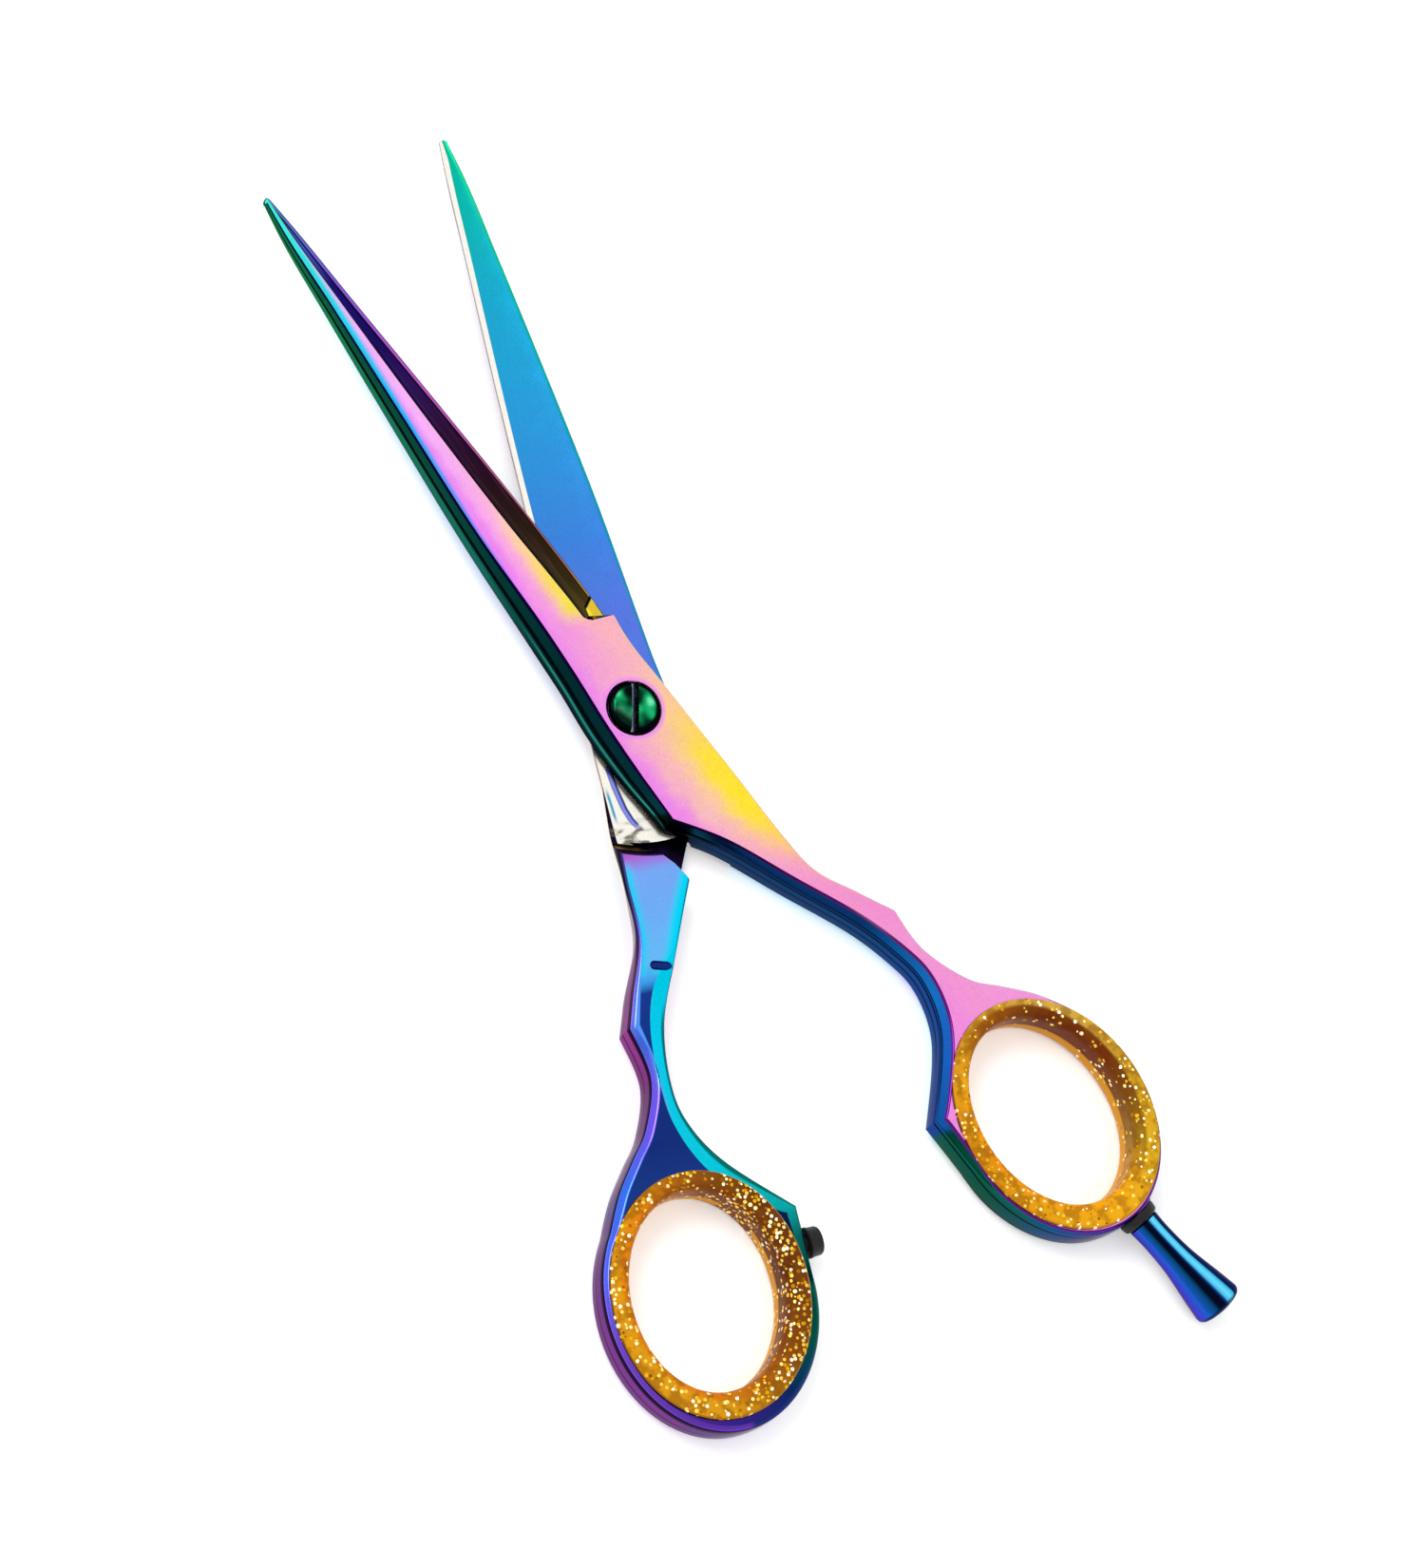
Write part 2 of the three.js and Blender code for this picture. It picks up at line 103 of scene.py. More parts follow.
# A form is (y, outer inset, outer drop, inner inset, inner drop): the chamfers of a side of the
# handle, from the top of the shank down to the ring.
FINGER = {
    "left": [(-5.3, -14.7), (-0.6, -20.6), (3.9, -29.2), (8.4, -37.7), (10.6, -43.8), (11.3, -48.2),
             (10.1, -53.2), (7.3, -57.4), (1.6, -63.4)],
    "right_low": [(22.9, -57.2), (19.8, -54.2), (16.5, -51.0), (13.8, -44.8), (13.7, -38.9)],
    "right_high": [(10.7, -34.0), (7.9, -29.2), (7.0, -23.5), (6.5, -14.0)],
    "ring": (15.4, -71.2, 13.3, 16.2, 0.0),
    "bore": (15.45, -70.55, 9.85, 12.6, 0.0),
    "arc_end": 7.0,
    "insert": (1.5, 2.9),
    "sink": 0.0,
    "up": 1.0,
    "clearance": [(5.9, -14.5), (3.1, -19.4), (1.2, -22.6)],
    "corner": -1.7,
    "left_form": [(-67, 1.0, 0.8, 1.6, 0.9), (-60, 1.3, 1.1, 2.2, 0.9), (-40, 1.0, 1.1, 1.4, 0.8),
                  (-20, 0.8, 1.1, 0.6, 0.5), (-14.5, 0.9, 1.9, 0.5, 0.5), (-8, 1.6, 1.9, 0.5, 0.5)],
    "right_form": [(-60, 0.35, 0.35, 0.8, 0.7), (-35, 0.35, 0.35, 0.8, 0.7), (-8, 0.3, 0.3, 0.3, 0.3)],
    "edge_form": (0.3, 0.3),
    "ring_form": (0.45, 0.6, 0.45, 0.6),
}
THUMB = {
    "left": [(-5.3, -14.7), (-2.2, -19.7), (1.6, -26.4), (5.1, -33.0), (8.4, -39.7), (9.8, -46.6),
             (9.3, -51.8), (6.2, -57.6), (-0.8, -65.1)],
    "right_low": [(20.9, -58.3), (17.9, -54.7), (15.1, -51.4), (12.6, -45.6), (13.3, -39.1)],
    "right_high": [(11.5, -35.0), (8.7, -28.8), (8.1, -21.5), (7.2, -14.0)],
    "ring": (13.5, -73.4, 13.6, 16.4, 0.07),
    "bore": (13.75, -72.4, 9.75, 12.3, 0.14),
    "arc_end": 6.95,
    "insert": (1.3, 2.95),
    "sink": 0.1,
    "up": -1.0,
    "clearance": [(5.8, -14.7), (1.1, -20.4), (-0.3, -22.9)],
    "corner": 2.0,
    "left_form": [(-68, 1.0, 0.7, 1.4, 0.8), (-58, 1.2, 1.0, 2.9, 1.1), (-48, 1.0, 1.0, 1.7, 1.0),
                  (-34.2, 0.9, 1.0, 2.4, 1.0), (-32.8, 0.9, 1.0, 0.5, 0.3), (-18, 0.8, 1.4, 0.5, 0.4),
                  (-8, 1.6, 1.9, 0.5, 0.4)],
    "right_form": [(-60, 0.4, 0.4, 1.0, 0.8), (-44, 0.4, 0.6, 0.9, 0.7), (-39, 0.4, 0.9, 0.65, 0.5),
                   (-33.5, 0.4, 1.4, 0.5, 0.4), (-31, 0.5, 2.0, 0.3, 0.3), (-29.5, 0.7, 3.2, 0.2, 0.25),
                   (-28, 1.2, 4.6, 0.2, 0.25),
                   (-20, 1.9, 4.6, 0.2, 0.25), (-16, 1.3, 3.2, 0.2, 0.25), (-8, 1.0, 2.7, 0.2, 0.2)],
    "edge_form": (1.0, 2.7),
    "ring_form": (0.45, 0.6, 0.6, 0.6),
}

# How much of each colour a coated surface reflects at a low angle.
EDGE_TINT = (0.55, 0.55, 0.55, 1)

# Metres, except the lens, which is in millimetres.
LENS = 110.3
CAMERA_DISTANCE = 0.6
FLOOR_REACH = 2

# ---- frames ------------------------------------------------------------------------------------
LIFT = Matrix.Translation((0, 0, CONTACT_Z * MM))
FINGER_FRAME = LIFT @ Matrix.Rotation(OPENING / 2, 4, "Z")
THUMB_FRAME = LIFT @ Matrix.Rotation(-OPENING / 2, 4, "Z") @ Matrix.Rotation(math.pi, 4, "Y")


# ---- curves ------------------------------------------------------------------------------------
def along(y, column):
    """A blade dimension at y, on a smooth curve through the stations."""
    ys, values = BLADE[:, 0], BLADE[:, column]
    slopes = np.gradient(values, ys)
    i = np.clip(np.searchsorted(ys, y) - 1, 0, len(ys) - 2)
    span = ys[i + 1] - ys[i]
    t = (y - ys[i]) / span
    rise = values[i + 1] - values[i]
    ease = t * t * (3 - 2 * t)
    bend = (t ** 3 - 2 * t ** 2 + t) * (slopes[i] * span) + (t ** 3 - t ** 2) * (slopes[i + 1] * span)
    return values[i] + rise * ease + bend


def spline(points, steps=12):
    """A Catmull-Rom curve through the points."""
    p = np.array(points, float)
    padded = np.vstack([p[0], p, p[-1]])
    t = (np.arange(steps) / steps)[:, None]
    rows = []
    for a, b, c, d in zip(padded, padded[1:], padded[2:], padded[3:]):
        start, end = (c - a) / 2, (d - b) / 2
        rows.append((2 * b - 2 * c + start + end) * t ** 3 + (3 * c - 3 * b - 2 * start - end) * t ** 2
                    + start * t + b)
    return np.vstack([*rows, p[-1]])


def evenly(points, step=RUN_STEP):
    """The same line with its points about a step apart."""
    lengths = np.concatenate([[0], np.cumsum(np.linalg.norm(np.diff(points, axis=0), axis=1))])
    places = np.linspace(0, lengths[-1], max(2, round(lengths[-1] / step) + 1))
    return np.column_stack([np.interp(places, lengths, points[:, k]) for k in (0, 1)])


def ellipse(shape, angles, offset=0.0):
    """Points at a distance outside an ellipse: centre, half axes, turn."""
    x, y, rx, ry, turn = shape
    out = np.column_stack([np.cos(angles) / rx, np.sin(angles) / ry])
    out /= np.linalg.norm(out, axis=1)[:, None]
    p = np.column_stack([rx * np.cos(angles), ry * np.sin(angles)]) + out * offset
    c, s = math.cos(turn), math.sin(turn)
    return p @ np.array([[c, s], [-s, c]]) + (x, y)


def smoothed(values, reach):
    """Values round a closed loop, each averaged with its neighbours."""
    weights = np.exp(-0.5 * (np.arange(-3 * reach, 3 * reach + 1) / reach) ** 2)
    weights /= weights.sum()
    ends = 3 * reach
    padded = np.concatenate([values[-ends:], values, values[:ends]])
    return np.column_stack([np.convolve(column, weights, "valid") for column in padded.T])


def round_angles(count):
    return np.arange(count) / count * 2 * math.pi


# ---- meshes ------------------------------------------------------------------------------------
def volume(points, faces):
    """Six times the volume inside the faces, below zero where they face inward."""
    p = np.array(points, float)
    return sum(np.dot(p[f[0]], np.cross(p[f[i]], p[f[i + 1]])) for f in faces for i in range(1, len(f) - 1))


def add_object(name, data):
    obj = bpy.data.objects.new(name, data)
    bpy.context.scene.collection.objects.link(obj)
    return obj


def mesh_object(name, points, faces, bands, materials):
    """An object from points in millimetres, with a material number for each face."""
    if volume(points, faces) < 0:
        faces = [tuple(reversed(face)) for face in faces]
    mesh = bpy.data.meshes.new(name)
    mesh.from_pydata([Vector(p) * MM for p in points], [], faces)
    for material in materials:
        mesh.materials.append(material)
    mesh.polygons.foreach_set("material_index", bands)
    mesh.update()
    return add_object(name, mesh)


def bake(obj):
    """Applies the object's modifiers."""
    graph = bpy.context.evaluated_depsgraph_get()
    mesh = bpy.data.meshes.new_from_object(obj.evaluated_get(graph))
    obj.modifiers.clear()
    old, obj.data = obj.data, mesh
    bpy.data.meshes.remove(old)


def cut(obj, tool, operation="DIFFERENCE"):
    """Cuts the tool out of the object, and removes the tool."""
    modifier = obj.modifiers.new("cut", "BOOLEAN")
    modifier.solver = "MANIFOLD"
    modifier.operation = operation
    modifier.object = tool
    bake(obj)
    bpy.data.objects.remove(tool)


def finish_surface(obj, angle=32):
    """Smooth shading that keeps flat faces flat and edges sharper than the angle crisp."""
    obj.data.shade_smooth()
    obj.data.set_sharp_from_angle(angle=math.radians(angle))
    modifier = obj.modifiers.new("normals", "WEIGHTED_NORMAL")
    modifier.keep_sharp = True
    bake(obj)


def tube_faces(rows, columns, closed_rows=False, closed_columns=True):
    """Faces of a grid of points, rows by columns, joined round where asked."""
    faces = []
    for i in range(rows if closed_rows else rows - 1):
        for j in range(columns if closed_columns else columns - 1):
            k, n = (j + 1) % columns, (i + 1) % rows
            faces.append((i * columns + j, i * columns + k, n * columns + k, n * columns + j))
    return faces


def loft(name, loops, materials, bands):
    """A closed body through equal loops of points, with flat or warped ends."""
    rows, columns = len(loops), len(loops[0])
    faces = tube_faces(rows, columns)
    faces.append(tuple(reversed(range(columns))))
    faces.append(tuple(range((rows - 1) * columns, rows * columns)))
    face_bands = list(bands) * (rows - 1) + [bands[0]] * 2
    return mesh_object(name, np.vstack(loops), faces, face_bands, materials)


def turned(name, profile, materials, band=0, segments=96):
    """A body of revolution about Z from (radius, z) points that start and end on the axis."""
    angles = round_angles(segments)
    inner = profile[1:-1]
    points = [(0, 0, profile[0][1])]
    for angle in angles:
        points += [(r * math.cos(angle), r * math.sin(angle), z) for r, z in inner]
    points.append((0, 0, profile[-1][1]))
    n, last = len(inner), len(points) - 1
    faces = []
    for i in range(segments):
        a, b = 1 + i * n, 1 + (i + 1) % segments * n
        faces.append((0, b, a))
        faces += [(a + j, b + j, b + j + 1, a + j + 1) for j in range(n - 1)]
        faces.append((a + n - 1, b + n - 1, last))
    return mesh_object(name, points, faces, [band] * len(faces), materials)


def prism(name, outline, bottom, top, materials, band=0):
    """An upright body with a plan outline that runs counter-clockwise."""
    low = [(x, y, bottom) for x, y in outline]
    high = [(x, y, top) for x, y in outline]
    return loft(name, [np.array(low), np.array(high)], materials, [band] * len(outline))


# ---- a forged half -----------------------------------------------------------------------------
# Numbers of the materials on a half.
FACE_BAND, FACET_BAND, WALL_BAND, BEVEL_BAND, LAND_BAND, HOLLOW_BAND, RIDE_BAND, STEP_BAND, \
    INNER_BAND, INNER_FACET_BAND, PAINTED_SHADE_BAND = range(11)


def handle_runs(half):
    """The outline's runs below the blade, counter-clockwise, each with its chamfers."""
    left_top = np.array([(along(np.array(HANDLE_END_Y), FOOT), HANDLE_END_Y), half["left"][0]])
    left = spline(half["left"])
    ring = ellipse(half["ring"], np.linspace(math.pi, half["arc_end"], 160))
    facet = np.array([left[-1], ring[0]])
    right_low = spline([ring[-1], *half["right_low"]])
    right_high = spline([half["right_low"][-1], *half["right_high"]])
    right_top = np.array([half["right_high"][-1], (along(np.array(HANDLE_END_Y), EDGE), HANDLE_END_Y)])
    plan, forms = [], []
    for run, form in ((left_top, "left_form"), (left, "left_form"), (facet, "left_form"),
                      (ring, "ring_form"), (right_low, "right_form"), (right_high, "right_form"),
                      (right_top, "right_form")):
        points = evenly(run)[1:]
        plan.append(points)
        forms.append(forms_along(points, half[form]))
    return np.vstack(plan), np.vstack(forms)


def forms_along(points, form):
    """The chamfers at each point: a single form, or one read from a table by y."""
    if isinstance(form, tuple):
        return np.tile(form, (len(points), 1))
    table = np.array(form, float)
    return np.column_stack([np.interp(points[:, 1], table[:, 0], table[:, k]) for k in (1, 2, 3, 4)])


def blade_rows():
    return np.linspace(TIP_Y, HANDLE_END_Y, BLADE_ROWS)


def spine_run():
    y = blade_rows()
    foot, top, face = along(y, FOOT), along(y, TOP), along(y, FACE)
    drop = (face - HALF_GAP) * (1 - SPINE_WALL_SHARE)
    rest = np.full(len(y), 0.5)
    return np.column_stack([foot, y]), np.column_stack([top - foot, drop, rest, rest])


def edge_run(half):
    y = blade_rows()[::-1]
    thick = np.interp(y, [HOOK[-1][1] - 2, HOOK[-1][1] + 1.5], [1, 0])
    forms = [0.02 + (size - 0.02) * thick for size in (*half["edge_form"], 0.2, 0.2)]
    return np.column_stack([along(y, EDGE), y]), np.column_stack(forms)


def tip_run():
    angles = np.linspace(0, math.pi, TIP_POINTS + 2)[1:-1]
    left, right = along(np.array(TIP_Y), FOOT), along(np.array(TIP_Y), EDGE)
    middle, reach = (left + right) / 2, (right - left) / 2
    plan = np.column_stack([middle + reach * np.cos(angles), TIP_Y + TIP_REACH * np.sin(angles)])
    return plan, np.tile((0.12, 0.25, 0.12, 0.25), (len(plan), 1))


def fillet(a, corner, b, radius, steps=3):
    """Points that round the corner between a and b, each an array of (inset, z)."""
    to_a, to_b = a - corner, b - corner
    length_a = np.linalg.norm(to_a, axis=1)[:, None]
    length_b = np.linalg.norm(to_b, axis=1)[:, None]
    start = corner + to_a / length_a * np.minimum(radius, 0.4 * length_a)
    end = corner + to_b / length_b * np.minimum(radius, 0.4 * length_b)
    return [start * (1 - t) ** 2 + corner * 2 * t * (1 - t) + end * t * t
            for t in np.linspace(0, 1, steps + 1)]


def profile_columns(forms, face_z):
    """(inset, z) of each column of the skin, from the inner face over the wall to the outer one."""
    outer_inset, outer_drop, inner_inset, inner_drop = forms.T
    zero = np.zeros(len(forms))
    low_z, bulge = zero + INNER_Z, zero + 0.1

    def column(inset, z):
        return np.column_stack([inset, z])

    cap = column(inner_inset + 2, low_z)
    inner_crease = column(inner_inset, low_z)
    inner_foot = column(bulge, low_z + inner_drop)
    outer_foot = column(bulge, face_z - outer_drop)
    middle = (inner_foot + outer_foot) / 2 - column(bulge, zero)
    outer_crease = column(outer_inset, face_z)
    outer_cap = column(outer_inset + 2, face_z)
    columns = [
        *fillet(cap, inner_crease, inner_foot, 0.15), *fillet(inner_crease, inner_foot, middle, 0.3),
        *fillet(inner_foot, middle, outer_foot, 1.0), *fillet(middle, outer_foot, outer_crease, 0.3),
        *fillet(outer_foot, outer_crease, outer_cap, 0.15),
    ]
    bands = [INNER_FACET_BAND] * 5 + [WALL_BAND] * 8 + [FACET_BAND] * 6
    return columns, bands


def inward(plan, blade_count):
    """Directions into the plan at each point, smoothed, and straight across on the blade."""
    travel = np.roll(plan, -1, axis=0) - np.roll(plan, 1, axis=0)
    normal = np.column_stack([-travel[:, 1], travel[:, 0]])
    normal /= np.linalg.norm(normal, axis=1)[:, None]
    normal = smoothed(normal, 2)
    normal /= np.linalg.norm(normal, axis=1)[:, None]
    normal[:blade_count] = (1, 0)
    normal[-blade_count - TIP_POINTS:-TIP_POINTS] = (-1, 0)
    normal[-TIP_POINTS:] = (0, -1)
    return normal


def half_skin(name, half, materials):
    """The forging before any cut: plan outline with chamfers, capped by its two faces."""
    spine, spine_form = spine_run()
    handle, handle_form = handle_runs(half)
    edge, edge_form = edge_run(half)
    tip, tip_form = tip_run()
    count = len(spine)
    plan = np.vstack([spine, handle[:-1], edge, tip])
    forms = np.vstack([spine_form, handle_form[:-1], edge_form, tip_form])
    soft = smoothed(forms, 3)
    blended = slice(count - JOIN_ROWS, JOIN_ROWS - count - len(tip))
    forms[blended] = soft[blended]
    normal = inward(plan, count)
    face_z = along(np.clip(plan[:, 1], HANDLE_END_Y, 80.0), FACE)
    face_z = np.where(plan[:, 1] < BLADE[4, 0], OUTER_Z, face_z)
    columns, bands = profile_columns(forms, face_z)
    stacked = np.stack([np.column_stack([plan + normal * c[:, :1], c[:, 1]]) for c in columns], axis=1)
    width, total = len(columns), len(plan)
    points = stacked.reshape(-1, 3)
    faces = [tuple(reversed(f)) for f in tube_faces(total, width, closed_rows=True, closed_columns=False)]
    face_bands = bands * total
    for column, band, flip in ((0, INNER_BAND, True), (width - 1, FACE_BAND, False)):
        caps = cap_faces(total, count, len(tip))
        for loop in caps:
            loop = [i * width + column for i in loop]
            faces.append(tuple(reversed(loop)) if flip else tuple(loop))
            face_bands.append(band)
    return mesh_object(name, points, faces, face_bands, materials)


def cap_faces(total, count, tip_count):
    """Loops of outline numbers that close a face: strips across the blade, then handle and tip."""
    first_edge = total - tip_count - count
    strips = []
    for i in range(count - 1):
        j = first_edge + count - 1 - i
        strips.append((i, i + 1, j - 1, j))
    handle = tuple(range(count - 1, first_edge + 1))
    tip = (0, first_edge + count - 1, *range(total - tip_count, total))
    return [*strips, handle, tip]


def bevel_tool(materials):
    """What the large hollow bevel and the small bevel at the edge take away."""
    rows = np.concatenate([[12.5], np.linspace(13.6, 81, 90)])
    loops = []
    for index, y in enumerate(rows):
        crease, edge, face = (float(along(np.array(min(y, 80.0)), k)) for k in (CREASE, EDGE, FACE))
        t = np.linspace(0, 1, BEVEL_STEPS)
        land_top = HALF_GAP + LAND[1]
        xs = crease + (edge - LAND[0] - crease) * t
        zs = face + (land_top - face) * t - BEVEL_SAG * 4 * t * (1 - t) * (edge - crease) / 4
        outside = edge + 2 * LAND[0]
        section = [(crease, face + 2), *zip(xs, zs), (outside, land_top - 3 * LAND[1]), (outside, face + 2)]
        ys = [np.interp(x, HOOK[:, 0], HOOK[:, 1]) if index == 0 else y for x, _ in section]
        loops.append(np.array([(x, yy, z) for (x, z), yy in zip(section, ys)]))
    bands = [BEVEL_BAND] * BEVEL_STEPS + [LAND_BAND] + [BEVEL_BAND] * 2
    return loft("bevel tool", loops, materials, bands)


def hollow_tool(materials):
    """What the hollow inner face of the blade takes away; a flat strip stays along the edge."""
    loops = []
    for y in np.linspace(-2.5, 81, 110):
        foot, edge = (float(along(np.array(min(y, 80.0)), k)) for k in (FOOT, EDGE))
        strip = min(STRIP_WIDTH, 0.45 * (edge - foot))
        start, end = edge - strip, foot + 0.25
        t = np.linspace(0, 1, 11)
        xs = start + (end - start) * t
        zs = HALF_GAP + 0.02 + INNER_SAG * min(1, (edge - foot) / 9) * 4 * t * (1 - t)
        section = [(edge + 1, HALF_GAP), *zip(xs, zs), (foot - 1, HALF_GAP), (foot - 1, -THROUGH),
                   (edge + 1, -THROUGH)]
        loops.append(np.array([(x, y, z) for x, z in section]))
    bands = [RIDE_BAND] + [HOLLOW_BAND] * 11 + [RIDE_BAND] * 3
    return loft("hollow tool", loops, materials, bands)


def step_tool(materials):
    """The round step between the ride and the full thickness of the handle."""
    t = np.linspace(0, 1, 9)
    slope = [(STEP_FOOT + (STEP_TOP - STEP_FOOT) * (s + 0.12 * math.sin(2 * math.pi * s)),
              HALF_GAP + (INNER_Z - HALF_GAP) * s) for s in t]
    profile = [(0, -THROUGH), (STEP_TOP, -THROUGH), *reversed(slope), (0, HALF_GAP)]
    tool = turned("step tool", profile, materials, STEP_BAND, 128)
    for polygon in tool.data.polygons:
        centre = polygon.center / MM
        if centre.z > HALF_GAP - 0.05 and centre.xy.length < STEP_FOOT - 1:
            polygon.material_index = RIDE_BAND
    return tool


def corner_tool(half, materials):
    """The corner of the handle that gives way to the other half's shank."""
    clearance = half["clearance"]
    corner = [(-9, -10), (-9, clearance[-1][1]), *reversed(clearance), (7, -10)]
    tool = prism("corner tool", corner, -THROUGH, half["corner"], materials, PAINTED_SHADE_BAND)
    core = prism("core", ellipse((0, 0, CORE_RADIUS, CORE_RADIUS, 0), round_angles(96)),
                 -THROUGH - 1, THROUGH, materials, PAINTED_SHADE_BAND)
    cut(tool, core)
    return tool


def insert_hole(half, materials):
    angles = round_angles(160)
    outline = ellipse(half["bore"], angles, half["insert"][0] + 0.15)
    return prism("insert hole", outline, -THROUGH, THROUGH, materials, WALL_BAND)


def groove_tool(materials):
    """A round-ended groove across the inner face of the shank."""
    length, radius = GROOVE["reach"], GROOVE["radius"]
    bend = [(radius * math.cos(a), radius * math.sin(a)) for a in np.linspace(-math.pi / 2, 0, 7)]
    profile = [(0, -length), *[(r, -length + radius + z) for r, z in bend],
               *[(r, length - radius - z) for r, z in reversed(bend)], (0, length)]
    tool = turned("groove tool", profile, materials, INNER_BAND, 48)
    centre = Vector((GROOVE["x"], GROOVE["y"], INNER_Z + GROOVE["depth"] - radius)) * MM
    tool.data.transform(Matrix.Translation(centre) @ Matrix.Rotation(GROOVE["turn"], 4, "Z")
                        @ Matrix.Rotation(math.pi / 2, 4, "Y"))
    return tool


def recess_tools(materials):
    """The screw head's recess with a flared rim, and the hole for its bush."""
    radius, floor, flare = RECESS["radius"], RECESS["floor"], RECESS["flare"]
    profile = [(0, floor), (radius, floor), (radius, OUTER_Z - flare), (radius + flare, OUTER_Z),
               (radius + 3 * flare, OUTER_Z + 2 * flare), (0, OUTER_Z + 2 * flare)]
    recess = turned("recess tool", profile, materials, PAINTED_SHADE_BAND)
    for polygon in recess.data.polygons:
        if polygon.center.z > (OUTER_Z - flare) * MM:
            polygon.material_index = FACE_BAND
    bush = turned("bush tool", [(0, -1), (2.6, -1), (2.6, THROUGH), (0, THROUGH)], materials, PAINTED_SHADE_BAND)
    return recess, bush


def rod(name, radius, bottom, top, materials, band=PAINTED_SHADE_BAND, segments=64):
    return turned(name, [(0, bottom), (radius, bottom), (radius, top), (0, top)], materials, band, segments)


def washer_pocket(materials):
    return rod("washer pocket", 4.7, -1.0, HALF_GAP + 0.35, materials)


def screw_hole(materials):
    return rod("screw hole", 2.1, -THROUGH, THROUGH, materials)


def rest_seat(materials):
    """The round pad on the ring that the finger rest screws to, its spot face and its stud hole."""
    pad = rod("rest pad", 2.7, -1.45, 0.05, materials, WALL_BAND)
    spot = rod("spot face", 2.95, 0.05, 3.0, materials)
    hole = rod("stud hole", 1.3, -2.1, 3.0, materials)
    turn = FINGER_FRAME.inverted() @ rest_frame()
    for tool in (pad, spot, hole):
        tool.data.transform(turn)
    return pad, spot, hole


def stem_hole(materials):
    hole = rod("stem hole", 1.05, -1.8, 1.0, materials, PAINTED_SHADE_BAND, 48)
    hole.data.transform(THUMB_FRAME.inverted() @ bumper_frame())
    return hole


def forged_half(name, half, materials):
    obj = half_skin(name, half, materials)
    for tool in (bevel_tool(materials), hollow_tool(materials), step_tool(materials),
                 corner_tool(half, materials), insert_hole(half, materials)):
        cut(obj, tool)
    return obj


def insert_shell(name, half, materials):
    """The soft ring in a finger hole, with a lip over each face of the steel."""
    wall, lip = half["insert"]
    rim = [(0, 2.3), (0.02, 1.5), (0.12, 0.9), (0.32, 0.42), (0.62, 0.12), (1.0, 0), (lip - 0.5, 0),
           (lip - 0.2, 0.06), (lip - 0.04, 0.2), (lip, 0.32), (lip - 0.06, 0.42), (wall, 0.42)]
    section = [*rim, *[(offset, INSERT_TOP - z) for offset, z in reversed(rim)]]
    angles = round_angles(144)
    drop = CONTACT_Z + half["sink"]
    loops = []
    for offset, z in section:
        shift = LIP_SHIFT * max(0, offset - wall) / (lip - wall)
        loops.append([(x, y - shift, z - drop) for x, y in ellipse(half["bore"], angles, offset)])
    points = np.array(loops).transpose(1, 0, 2).reshape(-1, 3)
    faces = tube_faces(len(angles), len(section), closed_rows=True)
    return mesh_object(name, points, faces, [0] * len(faces), materials)


def insert(name, half, materials):
    obj = insert_shell(name, half, materials)
    finish_surface(obj, 50)
    return obj


def soften_edges(obj, width, segments=2):
    """Rounds the sharp edges a little, so they catch light."""
    modifier = obj.modifiers.new("soften", "BEVEL")
    modifier.width = width * MM
    modifier.segments = segments
    modifier.limit_method = "ANGLE"
    modifier.angle_limit = math.radians(35)
    modifier.harden_normals = False
    bake(obj)


def pivot_screw(materials):
    """The slotted screw: a low domed head on its shank."""
    profile = [(0, 0), (1.75, 0), (2.0, 0.25), (2.0, 5.6), (3.0, 5.6), (3.2, 5.8), (3.2, 6.4),
               (3.1, 6.62), (2.85, 6.78), (2.4, 6.9), (1.7, 6.97), (0.8, 7.0), (0, 7.0)]
    screw = turned("pivot_screw_steel", profile, materials, 0, 96)
    slot = prism("slot", [(-0.45, -4.5), (0.45, -4.5), (0.45, 4.5), (-0.45, 4.5)], 6.25, 8, materials, 1)
    slot.data.transform(Matrix.Rotation(SLOT_TURN, 4, "Z"))
    cut(screw, slot)
    soften_edges(screw, 0.07)
    finish_surface(screw)
    return screw


def rest_frame():
    """The finger rest's lathe axis: out of the ring's lower end."""
    return (FINGER_FRAME @ Matrix.Translation(Vector(REST["foot"]) * MM)
            @ Matrix.Rotation(REST["lean"], 4, "Z") @ Matrix.Rotation(math.pi / 2, 4, "X"))


def finger_rest(materials):
    flank = spline(REST["flank"], 8)
    profile = [(0, -REST["stud"]), (1.0, -REST["stud"]), (1.2, 0.2 - REST["stud"]), (1.2, 1.5), (1.95, 1.5),
               (2.1, 1.65), *flank[1:], (3.25, 15.3), (3.1, 15.62), (2.8, 15.9), (2.2, 16.14), (1.2, 16.32),
               (0, 16.38)]
    rest = turned("finger_rest_steel", profile, materials, 0, 96)
    finish_surface(rest, 40)
    return rest


def rest_washer(materials):
    profile = [(1.35, 0.1), (2.4, 0.1), (2.55, 0.2), (2.6, 0.4), (2.5, 1.1), (2.4, 1.3), (2.25, 1.4),
               (1.35, 1.4)]
    angles = round_angles(72)
    points = [(r * math.cos(a), r * math.sin(a), z) for a in angles for r, z in profile]
    faces = tube_faces(len(angles), len(profile), closed_rows=True)
    washer = mesh_object("finger_rest_washer_rubber", points, faces, [0] * len(faces), materials)
    finish_surface(washer)
    return washer


def bumper(materials):
    profile = [(0, -1.65), (0.85, -1.65), (1.0, -1.5), (1.0, 0.3), (1.8, 0.32), (1.95, 0.45), (1.95, 0.75),
               (1.86, 0.95), (1.82, 1.9), (1.7, 2.12), (1.45, 2.2), (0, 2.2)]
    stop = turned("bumper_rubber", profile, materials, 0, 72)
    finish_surface(stop, 40)
    return stop


